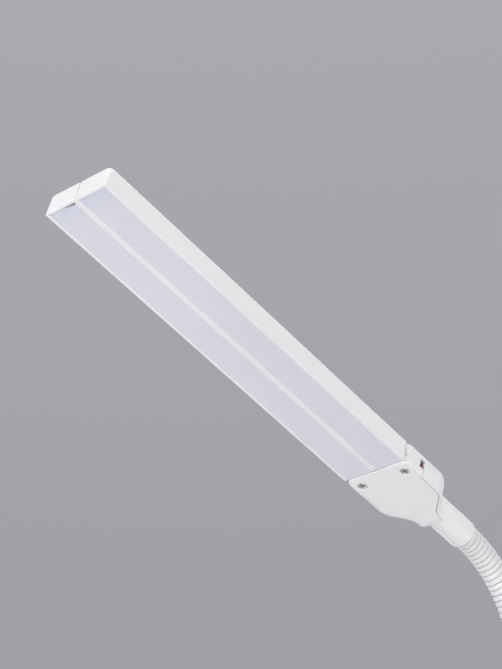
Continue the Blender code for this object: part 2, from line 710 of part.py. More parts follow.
def clip_body(group):
    half = CLIP_WIDTH / 2
    heel = PIVOT_X - HUB_RADIUS - 1.5
    profile = rounded(((JAW_TIP - 3, JAW_FACE, 0.8), (JAW_TIP, 6.2, 2), (JAW_TIP - 1.5, 10.5, 3), (3, 15, 12),
                       (LID_FRONT + 2, CLIP_TOP, 6), (LID_REAR - 4, CLIP_TOP, 9),
                       (HANDLE_END + 2, CLIP_TOP - CLIP_REAR_DROP, 3), (HANDLE_END, CLIP_TOP - HANDLE_THICKNESS, 2.5),
                       (heel - 10.5, 9.5, 9), (heel, JAW_FACE, 1)))
    bm = bmesh.new()
    prism(bm, profile, -half, half, "y")
    body = piece("clip_body", bm, "white_plastic", group)
    bevel = body.modifiers.new("Edges", "BEVEL")
    bevel.width = 2.0 * MM
    bevel.segments = 1
    bevel.limit_method = "ANGLE"
    bevel.angle_limit = math.radians(50)

    ears = bmesh.new()
    outline = [(PIVOT_X + HUB_RADIUS + 0.5, JAW_FACE + 2)]
    outline += arc((PIVOT_X, PIVOT_Z), HUB_RADIUS + 0.5, 0, -180, 10)
    outline += [(PIVOT_X - HUB_RADIUS - 0.5, JAW_FACE + 2)]
    prism(ears, outline, EAR_INNER, half - 0.2, "y")
    prism(ears, outline, -half + 0.2, -EAR_INNER, "y")
    add(body, ears, group)

    seat = bmesh.new()
    lid = (LID_REAR - GAP, LID_FRONT + GAP), (-LID_WIDTH / 2 - GAP, LID_WIDTH / 2 + GAP)
    prism(seat, rectangle(*lid, 4), LID_LOW - GAP, CLIP_TOP + 2)
    cut(body, seat, group)

    hollow = bmesh.new()
    inset = CAVITY_INSET
    plan = rectangle((LID_REAR + inset, LID_FRONT - inset), (-LID_WIDTH / 2 + inset, LID_WIDTH / 2 - inset), 3)
    prism(hollow, plan, CAVITY_FLOOR, CLIP_TOP)
    cut(body, hollow, group)

    wall = LID_WIDTH / 2 - inset
    crossings = bmesh.new()
    cylinder(crossings, TUBE_GROOVE_RADIUS, -half - 1, half + 1, lying(TUBE_GROOVE_X, 0), 24)
    cylinder(crossings, PIN_RADIUS + GAP, -half - 1, half + 1, lying(PIVOT_X, PIVOT_Z), 16)
    prism(crossings, rectangle((INLET_X - 4.8, INLET_X + 4.8), (INLET_Z - 1.95, INLET_Z + 1.95), 1.5),
          -half - 1, -wall + 2.4, "y")
    cut(body, crossings, group)

    posts = bmesh.new()
    cylinder(posts, BASE_TUBE_RADIUS + 3, CAVITY_FLOOR - 1, LID_LOW - 2, standing(NECK_X, 0), ROUND_SEGMENTS)
    for _, side in SIDES:
        box(posts, (BUTTON_X - 3, BUTTON_X + 6), sorted(((wall - 3) * side, (wall + 0.5) * side)),
            (CAVITY_FLOOR - 1, BOARD_LOW - GAP))
    box(posts, (INLET_X - 5, INLET_X + 5), (-wall - 0.5, -wall + 4), (CAVITY_FLOOR - 1, INLET_Z - 2))
    add(body, posts, group)

    holes = bmesh.new()
    cylinder(holes, BASE_TUBE_RADIUS + GAP, CAVITY_FLOOR - 2 - GAP, CLIP_TOP, standing(NECK_X, 0), ROUND_SEGMENTS)
    for _, x, y, level in clip_screws():
        profile = ((0, 0), (COVER_SCREW_HEAD + GAP, 0), (COVER_SCREW_HEAD + GAP, level + 1.8),
                   (COVER_SCREW_RADIUS + GAP, level + 1.8), (COVER_SCREW_RADIUS + GAP, CAVITY_FLOOR + 0.5),
                   (0, CAVITY_FLOOR + 0.5))
        lathe(holes, profile, HOLE_SEGMENTS, standing(x, y))
    cut(body, holes, group)

    screw_hole = bmesh.new()
    tube = NECK_X - BASE_TUBE_RADIUS
    cylinder(screw_hole, 1.8, tube - 5, tube + 1, set_screw_axis(), 12)
    cut(body, screw_hole, group, "MANIFOLD")
    smooth(body)


def set_screw_axis():
    """Local Z runs along +X through the boss that holds the base ferrule."""
    return Matrix.Translation((0, 0, 17)) @ Matrix.Rotation(math.radians(90), 4, "Y")


def clip_lid(group):
    bm = bmesh.new()
    prism(bm, rectangle((LID_REAR, LID_FRONT), (-LID_WIDTH / 2, LID_WIDTH / 2), 4), LID_LOW, CLIP_TOP)
    lid = piece("clip_top_cover", bm, "white_plastic", group)
    bosses = bmesh.new()
    for _, x, y, _ in clip_screws():
        cylinder(bosses, 3.0, CAVITY_FLOOR + GAP, LID_LOW + 1, standing(x, y), HOLE_SEGMENTS)
    add(lid, bosses, group)
    holes = bmesh.new()
    for _, x, y, _ in clip_screws():
        cylinder(holes, COVER_SCREW_RADIUS + GAP, CAVITY_FLOOR - 1, CLIP_TOP - 4, standing(x, y), HOLE_SEGMENTS)
    cylinder(holes, BASE_TUBE_RADIUS + 1.4, LID_LOW - 1, CLIP_TOP + 1, standing(NECK_X, 0), ROUND_SEGMENTS)
    for _, y in BUTTONS:
        cylinder(holes, BUTTON_RADIUS + GAP, LID_LOW - 1, CLIP_TOP + 1, standing(BUTTON_X, y), 16)
    cut(lid, holes, group)
    smooth(lid)


def control_board(group):
    half = LID_WIDTH / 2 - CAVITY_INSET - 1.5
    top = BOARD_LOW + BOARD_THICKNESS
    bm = bmesh.new()
    box(bm, (BUTTON_X - 6, BUTTON_X + 6.5), (-half, half), (BOARD_LOW, top))
    board = piece("control_board", bm, "board_green", group)
    switches = bmesh.new()
    for _, y in BUTTONS:
        box(switches, (BUTTON_X - 2.5, BUTTON_X + 2.5), (y - 2.5, y + 2.5), (top - 0.5, top + 2.0))
    add(board, switches, group)


def push_buttons(clip):
    low = BOARD_LOW + BOARD_THICKNESS + 3.2
    flange = LID_LOW - GAP
    for name, y in BUTTONS:
        group = Group(f"{name}_slide", (BUTTON_X, y, CLIP_TOP), clip.empty)
        top = CLIP_TOP + BUTTON_PROUD
        wide = BUTTON_RADIUS + BUTTON_FLANGE
        profile = ((0, low), (wide, low), (wide, flange), (BUTTON_RADIUS, flange),
                   (BUTTON_RADIUS, top - 0.6), (BUTTON_RADIUS - 0.6, top), (BUTTON_RADIUS - 1.8, top - 0.4),
                   (0, top - 0.4))
        bm = bmesh.new()
        lathe(bm, profile, 16, standing(BUTTON_X, y))
        smooth(piece(name, bm, "button_grey", group))


def lid_screws(group):
    for name, x, y, level in clip_screws():
        pan_screw(f"cover_screw_{name}", level, 1.5, COVER_SCREW_HEAD, COVER_SCREW_RADIUS,
                  CLIP_TOP - 5, standing(x, y), group)


def power_inlet(group):
    half = CLIP_WIDTH / 2
    x, z = (INLET_X - 4.5, INLET_X + 4.5), (INLET_Z - 1.65, INLET_Z + 1.65)
    bm = bmesh.new()
    prism(bm, rectangle(x, z, 1.5), -half + 0.1, -half + 7.2, "y")
    inlet = piece("power_inlet", bm, "screw_steel", group)
    pocket = bmesh.new()
    prism(pocket, rectangle((x[0] + 0.3, x[1] - 0.3), (z[0] + 0.3, z[1] - 0.3), 1.2), -half - 1, -half + 6.4, "y")
    cut(inlet, pocket, group)
    tongue = bmesh.new()
    box(tongue, (INLET_X - 3.3, INLET_X + 3.3), (-half + 1.4, -half + 6.8), (INLET_Z - 0.35, INLET_Z + 0.35))
    add(inlet, tongue, group)


def base_collar(group):
    """Moulded collar round the foot of the neck, on top of the clip."""
    bore = BASE_TUBE_RADIUS + 1.0
    low, high = CLIP_TOP + GAP, NECK_BASE_HEIGHT - SHOULDER_DROP - 1.5
    bm = bmesh.new()
    profile = [(bore, low), (bore + 6, low), (bore + 6, low + 2.5), (bore + 4.6, low + 4.5),
               (bore + 3, high - 1.5), (bore + 1.5, high), (bore, high)]
    lathe(bm, profile, 24, standing(NECK_X, 0))
    smooth(piece("neck_base_collar", bm, "white_plastic", group))


def set_screw(group):
    bm = bmesh.new()
    end = NECK_X - BASE_TUBE_RADIUS - GAP
    cylinder(bm, 1.5, end - 3.5, end, set_screw_axis(), 12)
    screw = piece("neck_set_screw", bm, "screw_steel", group)
    socket = bmesh.new()
    cylinder(socket, 0.8, end - 4.5, end - 1.8, set_screw_axis(), 6)
    cut(screw, socket, group)


def jaw_pad(name, low, group):
    bm = bmesh.new()
    box(bm, (-PAD_LENGTH / 2, PAD_LENGTH / 2), (-PAD_WIDTH / 2, PAD_WIDTH / 2), (low, low + PAD_THICKNESS))
    piece(name, bm, "pad_rubber", group)


def handle_point(along, above):
    """A point beside the lower handle's middle line, in the (x, z) plane."""
    c, s = math.cos(HANDLE_ANGLE), math.sin(HANDLE_ANGLE)
    return PIVOT_X - c * along - s * above, PIVOT_Z - s * along + c * above


def lower_jaw(group):
    half = EAR_INNER - GAP
    profile = rounded(((JAW_TIP - 3, LOWER_FACE, 0.8), (JAW_TIP, LOWER_FACE - 2.9, 2),
                       (JAW_TIP - 2.5, LOWER_FACE - 6.8, 2.5), (-10, -14.5, 20), (PIVOT_X + 6, -16, 12),
                       (*handle_point(16, -6.5), 8), (*handle_point(HANDLE_LENGTH, -4), 3),
                       (*handle_point(HANDLE_LENGTH, 3.2), 2), (*handle_point(9, 3.2), 0),
                       (PIVOT_X + HUB_RADIUS - 1, LOWER_FACE, 0)))
    bm = bmesh.new()
    prism(bm, profile, -half, half, "y")
    jaw = piece("lower_jaw", bm, "white_plastic", group)

    hub = bmesh.new()
    cylinder(hub, HUB_RADIUS, -half + 0.01, half - 0.01, lying(PIVOT_X, PIVOT_Z), 24)
    add(jaw, hub, group)

    plate = bmesh.new()
    wide = CLIP_WIDTH / 2
    outline = rounded(((JAW_TIP - 3, LOWER_FACE, 0.8), (JAW_TIP, LOWER_FACE - 2.9, 2),
                       (JAW_TIP - 2.5, LOWER_FACE - 6.8, 2.5), (-10, -14.5, 20), (PIVOT_X + 11, -15.7, 2),
                       (PIVOT_X + 11, LOWER_FACE, 1)))
    prism(plate, outline, -wide, wide, "y")
    add(jaw, plate, group)

    room = bmesh.new()
    slot = half - 6
    cylinder(room, HUB_RADIUS + 0.6, -slot, slot, lying(PIVOT_X, PIVOT_Z), 24)
    cut(jaw, room, group)

    holes = bmesh.new()
    cylinder(holes, PIN_RADIUS + GAP, -half - 1, half + 1, lying(PIVOT_X, PIVOT_Z), 16)
    cylinder(holes, TUBE_GROOVE_RADIUS, -wide - 1, wide + 1, lying(TUBE_GROOVE_X, 0), 24)
    cut(jaw, holes, group)

    groove = bmesh.new()
    start, end, _ = spring_leg()
    below = SPRING_WIRE + 2 * GAP
    outline = ((start[0], start[1] - below), (end[0] - 1, end[1] - below), (end[0] - 1, PIVOT_Z),
               (start[0], PIVOT_Z))
    y = spring_ends()[0]
    prism(groove, outline, y - 1.6, y + 1.6, "y")
    cut(jaw, groove, group)
    smooth(jaw)


def spring_ends():
    pitch = 2 * SPRING_WIRE + 0.5
    half = pitch * SPRING_TURNS / 2
    return -half, half


def spring_leg():
    """The lower leg in the (x, z) plane: where it leaves the coil, its end, and the coil angle there."""
    direction = math.radians(192)
    angle = direction + math.pi / 2
    start = PIVOT_X + SPRING_RADIUS * math.cos(angle), PIVOT_Z + SPRING_RADIUS * math.sin(angle)
    reach = 30
    end = start[0] + reach * math.cos(direction), start[1] + reach * math.sin(direction)
    return start, end, angle


def torsion_spring(group):
    low, high = spring_ends()
    start, end, first = spring_leg()
    last_direction = math.radians(168)
    last = last_direction - math.pi / 2 + 2 * math.pi * SPRING_TURNS
    steps = 10 * SPRING_TURNS
    path = [(end[0], low, end[1])]
    first -= 2 * math.pi
    for step in range(steps + 1):
        share = step / steps
        angle = first + (last - first) * share
        path.append((PIVOT_X + SPRING_RADIUS * math.cos(angle), low + (high - low) * share,
                     PIVOT_Z + SPRING_RADIUS * math.sin(angle)))
    x, y, z = path[-1]
    reach = 26
    path.append((x + reach * math.cos(last_direction), y, z + reach * math.sin(last_direction)))
    bm = bmesh.new()
    sweep(bm, path, SPRING_WIRE, 4)
    smooth(piece("clip_spring", bm, "screw_steel", group), 80)


def pivot_pin(group):
    side = CLIP_WIDTH / 2 + GAP
    groove = PIN_RADIUS - 0.5
    bm = bmesh.new()
    profile = ((0, side + 1.6), (PIN_RADIUS + 1, side + 1.6), (PIN_RADIUS + 1.6, side + 1.0),
               (PIN_RADIUS + 1.6, side), (PIN_RADIUS, side), (PIN_RADIUS, -side), (groove, -side),
               (groove, -side - 1.6), (PIN_RADIUS, -side - 1.6), (PIN_RADIUS - 0.5, -side - 2.6),
               (0, -side - 2.6))
    lathe(bm, profile, 12, lying(PIVOT_X, PIVOT_Z))
    smooth(piece("clip_pivot_pin", bm, "screw_steel", group))


def retaining_ring(group):
    """An open ring in the pin's groove."""
    outer, inner = PIN_RADIUS + 1.8, PIN_RADIUS - 0.2
    outline = arc((PIVOT_X, PIVOT_Z), outer, 25, 335, 14) + arc((PIVOT_X, PIVOT_Z), inner, 335, 25, 14)
    side = CLIP_WIDTH / 2 + 2 * GAP
    bm = bmesh.new()
    prism(bm, outline, -side - 1.0, -side, "y")
    piece("pin_retaining_ring", bm, "screw_steel", group)


# ---------------------------------------------------------------- assembly

def make_head():
    head = Group("head")
    head.empty.matrix_world = head_matrix()
    yoke = Group("yoke", parent=head.empty)
    yoke_upper_shell(yoke)
    yoke_lower_cover(yoke)
    pivot_screws(yoke)
    wire_pairs(yoke)
    top_ferrule(yoke)
    for side_name, side in SIDES:
        friction_washer(side_name, side, yoke)
        pivot = Group(f"{side_name}_bar_pivot", (PIVOT_ALONG, PIVOT_ACROSS * side, 0), head.empty)
        make_bar(side_name, side, pivot)


def make_clip():
    clip = Group("clip")
    clip_body(clip)
    clip_lid(clip)
    lid_screws(clip)
    control_board(clip)
    push_buttons(clip)
    power_inlet(clip)
    base_ferrule(clip)
    base_collar(clip)
    set_screw(clip)
    jaw_pad("upper_jaw_pad", 0, clip)
    torsion_spring(clip)
    pivot_pin(clip)
    retaining_ring(clip)
    hinge = Group("lower_jaw_pivot", (PIVOT_X, 0, PIVOT_Z))
    lower_jaw(hinge)
    jaw_pad("lower_jaw_pad", -JAW_REST_GAP - PAD_THICKNESS, hinge)


def main():
    clear_scene()
    MATERIALS.update(make_materials())
    make_clip()
    make_neck(head_matrix())
    make_head()


MATERIALS = {}
main()
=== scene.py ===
"""Clip-on reading lamp: two slim light bars on a yoke, a ribbed bendable neck and a spring clip.

Shapes are written in millimetres. The head's pieces are written in the head's own frame, which has X from the
bars' root to their tip, Y to the right bar and Z from the diffusers to the back, and are then turned into the
row frame. New pieces are grids of points worked out with numpy.
"""
import json
import math
from types import SimpleNamespace

import bmesh
import bpy
import numpy as np
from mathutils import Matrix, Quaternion, Vector
from mathutils.geometry import tessellate_polygon


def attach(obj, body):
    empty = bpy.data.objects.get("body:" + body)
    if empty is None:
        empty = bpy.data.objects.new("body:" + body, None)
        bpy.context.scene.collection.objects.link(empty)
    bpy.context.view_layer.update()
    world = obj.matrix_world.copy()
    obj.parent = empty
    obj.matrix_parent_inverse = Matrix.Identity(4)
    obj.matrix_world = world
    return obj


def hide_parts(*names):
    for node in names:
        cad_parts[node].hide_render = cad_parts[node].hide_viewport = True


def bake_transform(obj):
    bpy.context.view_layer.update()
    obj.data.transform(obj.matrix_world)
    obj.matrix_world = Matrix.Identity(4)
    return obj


bl_info = {
    "name": "Clip-on reading lamp",
    "version": (1, 0, 0),
    "blender": (4, 5, 0),
    "location": "View3D > Sidebar > Reading lamp",
    "description": "Builds a clip-on reading lamp with two light bars, a ribbed neck and a spring clip",
    "category": "Add Mesh",
}

MM = 0.001
SIDES = (("left", -1), ("right", 1))

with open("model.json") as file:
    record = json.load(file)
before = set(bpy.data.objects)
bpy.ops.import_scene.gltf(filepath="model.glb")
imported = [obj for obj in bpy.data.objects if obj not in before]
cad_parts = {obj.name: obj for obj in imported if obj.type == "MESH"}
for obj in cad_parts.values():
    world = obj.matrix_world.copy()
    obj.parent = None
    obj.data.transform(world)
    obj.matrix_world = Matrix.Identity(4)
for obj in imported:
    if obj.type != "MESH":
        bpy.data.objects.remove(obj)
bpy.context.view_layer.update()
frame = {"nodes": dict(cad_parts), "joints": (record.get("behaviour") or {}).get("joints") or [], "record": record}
NODES = frame["nodes"]
JOINTS = {joint["name"]: joint for joint in frame["joints"]}

# The head's axes in the row frame, from the bars' hinges
HINGE_LEVEL = 6.0
PIVOT_ALONG = -10.4
HEAD_BACK = np.array(JOINTS["right_bar_swing"]["axis"])
HEAD_ACROSS = np.array((0.0, 1.0, 0.0))
HEAD_ALONG = np.cross(HEAD_ACROSS, HEAD_BACK)
PIVOTS = {side: np.array(JOINTS[f"{side}_bar_swing"]["pos_m"]) / MM for side, _ in SIDES}
HEAD_ORIGIN = (PIVOTS["left"] + PIVOTS["right"]) / 2 - PIVOT_ALONG * HEAD_ALONG - HINGE_LEVEL * HEAD_BACK
PIVOT_ACROSS = float(PIVOTS["right"][1])

# Sizes of the head that its pieces share, in millimetres
BAR_LENGTH = 290.0
BAR_INNER = 0.04
BAR_OUTER = 24.9
BAR_HEIGHT = 16.5
SEAT_LEVEL = 2.6
YOKE_FRONT = -1.0
YOKE_WALL = 1.7
SLOT_REAR = -20.0
HINGE_LOW = 5.7
HINGE_HIGH = 12.4
FRONT_RADIUS = 5.0
SHOULDER_RADIUS = 16.0
THROAT_RADIUS = 14.0
REAR_RADIUS = 3.0
REAR_HALF = 9.8
SHOULDER_X = -36.0
DIAGONAL = math.sqrt(0.5)
FLANK = BAR_OUTER - REAR_HALF - (SHOULDER_RADIUS + THROAT_RADIUS) * (1 - DIAGONAL)
THROAT_X = SHOULDER_X - (SHOULDER_RADIUS + THROAT_RADIUS) * DIAGONAL - FLANK
YOKE_REAR = THROAT_X - REAR_RADIUS
COLLAR_LEVEL = 12.2
COLLAR_END = -98.5
ARC_START = -103.0
ARC_RADIUS = 82.0

# The spring round the hinge, in millimetres; a leg is its direction in the side view and its length
SPRING_RADIUS = 4.6
SPRING_WIRE = 0.9
SPRING_HALF_WIDTH = 5.75
SPRING_TURNS = 5
LOWER_LEG = (math.radians(192), 30.0)
UPPER_LEG = (math.radians(168), 26.0)
HOOK_SPARE = 0.15
HOOK_THINNER = 0.03

# Sizes of the clip, in millimetres
CLIP_WIDTH = 44.0
CLIP_TOP = 26.0
JAW_FACE = 3.3
LOWER_FACE = -5.7
PIVOT = np.array((-44.0, -5.0))
GROOVE_X = -27.0
GROOVE_RADIUS = 8.0
LID_X = (-62.0, -5.0)
LID_HALF = 20.0
INLET = (-31.0, 14.3)
BUTTON_X = -21.5
BUTTONS = (("brightness_button", -13.0, "brightness"), ("power_button", 0.0, "power"),
           ("colour_button", 13.0, "colour"))


# ---------------------------------------------------------------- meshes

class Shape:
    """Grids of points in millimetres and their faces, gathered for one piece."""

    def __init__(self):
        self.points = []
        self.faces = []
        self.count = 0
        self.shade = None

    def add_points(self, points):
        first = self.count
        points = np.asarray(points, float).reshape(-1, 3)
        self.points.append(points)
        self.count += len(points)
        return first

    def grid(self, rows, around=True, along=False, caps=(False, False), skip=None):
        """Quads between neighbouring rows of points, which close round a row and from the last row to the first
        when asked; a cap is one flat face over the first or the last row; the quad at skip is left open."""
        rows = np.asarray(rows, float)
        high, wide = rows.shape[:2]
        first = self.add_points(rows)
        row = np.arange(high if along else high - 1)[:, None]
        column = np.arange(wide if around else wide - 1)[None, :]
        above, beside = (row + 1) % high, (column + 1) % wide
        corners = np.broadcast_arrays(row * wide + column, row * wide + beside,
                                      above * wide + beside, above * wide + column)
        quads = (np.stack(corners, axis=-1).reshape(-1, 4) + first).tolist()
        if skip is not None:
            del quads[skip[0] * corners[0].shape[1] + skip[1]]
        self.faces += quads
        if caps[0]:
            self.faces.append((np.arange(wide) + first).tolist())
        if caps[1]:
            self.faces.append((np.arange(wide) + first + (high - 1) * wide).tolist())

    def flat(self, outlines, level, upright=False):
        """A flat face at one level inside the first outline and outside the others; an upright one stands across
        Y, and its outlines are (x, z) pairs."""
        loops = [[Vector((x, y, level)) for x, y in outline] for outline in outlines]
        points = np.concatenate([np.asarray(outline, float) for outline in outlines])
        points = np.column_stack((points, np.full(len(points), level)))
        first = self.add_points(points[:, (0, 2, 1)] if upright else points)
        self.faces += [[index + first for index in corner] for corner in tessellate_polygon(loops)]

    def build(self, name, material, head=False, sharp=32):
        """Make the mesh: join equal points, turn the faces outwards and smooth all but the sharp edges."""
        points = np.concatenate(self.points)
        if head:
            axes = np.stack((HEAD_ALONG, HEAD_ACROSS, HEAD_BACK))
            points = HEAD_ORIGIN + points @ axes
        mesh = bpy.data.meshes.new(name)
        mesh.from_pydata((points * MM).tolist(), [], self.faces)
        if self.shade is not None:
            mesh.attributes.new("shade", "FLOAT", "POINT").data.foreach_set("value", self.shade)
        bm = bmesh.new()
        bm.from_mesh(mesh)
        bmesh.ops.remove_doubles(bm, verts=bm.verts, dist=0.000002)
        bmesh.ops.dissolve_degenerate(bm, edges=bm.edges, dist=0.000001)
        bmesh.ops.recalc_face_normals(bm, faces=bm.faces)
        bm.to_mesh(mesh)
        bm.free()
        mesh.materials.append(material)
        mesh.shade_smooth()
        mesh.set_sharp_from_angle(angle=math.radians(sharp))
        piece = bpy.data.objects.new(name, mesh)
        bpy.context.scene.collection.objects.link(piece)
        return piece


def place(piece, body, slot, *nodes):
    """The piece rides on a body and stands for some nodes of the frame, which are hidden. The slot is not used."""
    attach(piece, body)
    if nodes:
        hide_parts(*nodes)


def arc(centre, radius, start, end, steps):
    """Points centre + radius (cos t, sin t), with t going evenly from start to end in degrees."""
    t = np.radians(np.linspace(start, end, steps + 1))
    return np.stack((centre[0] + radius * np.cos(t), centre[1] + radius * np.sin(t)), axis=1)


def at_level(outline, level):
    return np.column_stack((outline, np.full(len(outline), float(level))))


def edge_round(radius, level, inset=0.0, up=True, steps=5):
    """(inset, level) pairs of a quarter round between an upright wall at the inset and a flat face at the level."""
    t = np.linspace(0, math.pi / 2, steps + 1)
    sign = 1 if up else -1
    return list(zip(inset + radius * (1 - np.cos(t)), level - sign * radius * (1 - np.sin(t))))


def box_outline(x, y, radius, inset=0.0, steps=4):
    """A rectangle with rounded corners, moved inwards by the inset; the corners' middles stay where they are."""
    reach = max(radius, inset)
    turn = max(radius - inset, 0.01)
    corners = ((x[1] - reach, y[1] - reach, 0), (x[0] + reach, y[1] - reach, 90),
               (x[0] + reach, y[0] + reach, 180), (x[1] - reach, y[0] + reach, 270))
    return np.concatenate([arc((a, b), turn, t, t + 90, steps) for a, b, t in corners])


def slab(shape, outline, low, high, low_round=0.3, high_round=0.3, steps=3):
    """A flat body between two levels with rounded edges; outline(inset) gives its plan."""
    profile = [(low_round + 0.3, low), *reversed(edge_round(low_round, low, up=False, steps=steps)),
               *edge_round(high_round, high, steps=steps), (high_round + 0.3, high)]
    shape.grid([at_level(outline(inset), level) for inset, level in profile], caps=(True, True))


def rounded(corners, steps=6):
    """A closed outline of (x, y, radius) corners, each turned into an arc that touches both of its sides."""
    corners = np.asarray(corners, float)
    parts = []
    for (x, y, radius), before, after in zip(corners, np.roll(corners, 1, axis=0), np.roll(corners, -1,
            axis=0)):
        here = np.array((x, y))
        back, ahead = before[:2] - here, after[:2] - here
        back, ahead = back / np.linalg.norm(back), ahead / np.linalg.norm(ahead)
        half = math.acos(np.clip(back @ ahead, -1, 1)) / 2
        if radius <= 0:
            parts.append(here[None])
            continue
        middle = (back + ahead) / np.linalg.norm(back + ahead)
        centre = here + middle * radius / math.sin(half)
        t = np.linspace(half - math.pi / 2, math.pi / 2 - half, steps + 1)[:, None]
        square = (ahead - back) / np.linalg.norm(ahead - back)
        parts.append(centre + radius * (square * np.sin(t) - middle * np.cos(t)))
    return np.concatenate(parts)


def moved_in(outline, inset):
    """An outline moved inwards: each point along the middle of its two sides' normals."""
    if inset == 0:
        return outline
    side = np.roll(outline, -1, axis=0) - outline
    side /= np.linalg.norm(side, axis=1)[:, None]
    area = (outline[:, 0] * np.roll(outline[:, 1], -1) - outline[:, 1] * np.roll(outline[:, 0], -1)).sum()
    normal = np.stack((-side[:, 1], side[:, 0]), axis=1) * (1 if area > 0 else -1)
    before = np.roll(normal, 1, axis=0)
    share = 1 + (normal * before).sum(axis=1)
    return outline + inset * (normal + before) / np.maximum(share, 0.4)[:, None]


def swept(shape, outline, low, high, edge=0.5, steps=4, caps=(True, True), skip=None):
    """An (x, z) outline drawn out along Y, with rounded edges at both ends."""
    rows = []
    for inset, y in (*reversed(edge_round(edge, low, up=False, steps=steps)), *edge_round(edge, high,
            steps=steps)):
        ring = moved_in(outline, inset)
        rows.append(np.column_stack((ring[:, 0], np.full(len(ring), y), ring[:, 1])))
    shape.grid(rows, caps=caps, skip=skip)


def turned(profile, axis_point, axis, spoke, segments=48):
    """A profile of (along, radius) pairs turned round an axis."""
    along, radius = np.asarray(profile, float).T
    t = np.linspace(0, 2 * math.pi, segments, endpoint=False)
    axis, spoke = np.asarray(axis, float), np.asarray(spoke, float)
    other = np.cross(axis, spoke)
    ring = np.cos(t)[:, None] * spoke + np.sin(t)[:, None] * other
    return axis_point + along[:, None, None] * axis + radius[:, None, None] * ring[None]


def tube(path, radius, segments=12):
    """A round tube along a path: each ring stands square to the path, and the spokes keep their direction."""
    path = np.asarray(path, float)
    ahead = np.gradient(path, axis=0)
    ahead /= np.linalg.norm(ahead, axis=1)[:, None]
    side = np.cross(ahead, (0.0, 0.0, 1.0) if abs(ahead[0, 2]) < 0.9 else (0.0, 1.0, 0.0))
    side /= np.linalg.norm(side, axis=1)[:, None]
    up = np.cross(side, ahead)
    t = np.linspace(0, 2 * math.pi, segments, endpoint=False)[None, :, None]
    return path[:, None] + radius * (np.cos(t) * side[:, None] + np.sin(t) * up[:, None])


# ---------------------------------------------------------------- materials

def shader_of(name, roughness, metallic=0.0):
    material = bpy.data.materials.new(name)
    material.use_nodes = True
    shader = material.node_tree.nodes["Principled BSDF"]
    shader.inputs["Roughness"].default_value = roughness
    shader.inputs["Metallic"].default_value = metallic
    return material, material.node_tree, shader


def add_node(tree, kind, **settings):
    node = tree.nodes.new(kind)
    for key, value in settings.items():
        if key in node.inputs:
            node.inputs[key].default_value = value
        else:
            setattr(node, key, value)
    return node


def noise(tree, scale, detail=3.0, coordinates=None):
    node = add_node(tree, "ShaderNodeTexNoise", Scale=scale, Detail=detail)
    if coordinates is None:
        coordinates = add_node(tree, "ShaderNodeTexCoord").outputs["Object"]
    tree.links.new(coordinates, node.inputs["Vector"])
    return node


def vary_colour(tree, shader, colour, share, scale):
    """Base colour that drifts a little between a lighter and a darker tone."""
    ramp = add_node(tree, "ShaderNodeValToRGB")
    low, high = ramp.color_ramp.elements
    low.position, high.position = 0.35, 0.65
    low.color = (*(c * (1 - share) for c in colour), 1)
    high.color = (*(min(c * (1 + share * 0.6), 0.95) for c in colour), 1)
    tree.links.new(noise(tree, scale).outputs["Fac"], ramp.inputs["Fac"])
    tree.links.new(ramp.outputs["Color"], shader.inputs["Base Color"])


def vary_roughness(tree, shader, low, high, scale):
    spread = add_node(tree, "ShaderNodeMapRange")
    spread.inputs["To Min"].default_value = low
    spread.inputs["To Max"].default_value = high
    tree.links.new(noise(tree, scale).outputs["Fac"], spread.inputs["Value"])
    tree.links.new(spread.outputs["Result"], shader.inputs["Roughness"])


def grain(tree, shader, scale, strength, distance):
    """Fine moulded grain as bump."""
    bump = add_node(tree, "ShaderNodeBump", Strength=strength, Distance=distance)
    tree.links.new(noise(tree, scale, 2.0).outputs["Fac"], bump.inputs["Height"])
    tree.links.new(bump.outputs["Normal"], shader.inputs["Normal"])


def moulded_plastic(name, colour, rough=(0.36, 0.48), share=0.02, scale=2600.0, strength=0.25):
    material, tree, shader = shader_of(name, rough[0])
    vary_colour(tree, shader, colour, share, 18.0)
    vary_roughness(tree, shader, *rough, 60.0)
    grain(tree, shader, scale, strength, 0.00003)
    return material


def darken(tree, shader, factor, share):
    """Multiply the base colour by 1 less a share of the factor."""
    source = shader.inputs["Base Color"].links[0].from_socket
    mix = add_node(tree, "ShaderNodeMix", data_type="RGBA", blend_type="MULTIPLY")
    colour_in = [i for i in mix.inputs if i.type == "RGBA"]
    colour_out = [o for o in mix.outputs if o.type == "RGBA"]
    colour_in[1].default_value = (*(1 - s for s in share), 1.0)
    tree.links.new(factor, mix.inputs[0])
    tree.links.new(source, colour_in[0])
    tree.links.new(colour_out[0], shader.inputs["Base Color"])


def button_plastic(name, colour):
    """Grey plastic with a darker raised mark."""
    material = moulded_plastic(name, colour, (0.4, 0.55), 0.04, 2400.0, 0.3)
    tree = material.node_tree
    shade = add_node(tree, "ShaderNodeAttribute", attribute_name="shade")
    darken(tree, tree.nodes["Principled BSDF"], shade.outputs["Fac"], (0.7, 0.7, 0.7))
    return material


def ribbed_sleeve(name, colour):
    """Satin plastic with painted shade deep in the grooves: the shade attribute darkens the base colour there."""
    material = moulded_plastic(name, colour, (0.42, 0.55), 0.03, 1800.0, 0.3)
    tree = material.node_tree
    shade = add_node(tree, "ShaderNodeAttribute", attribute_name="shade")
    # painted shade: the colour darkens with the groove's depth
    darken(tree, tree.nodes["Principled BSDF"], shade.outputs["Fac"], (0.30, 0.30, 0.29))
    return material


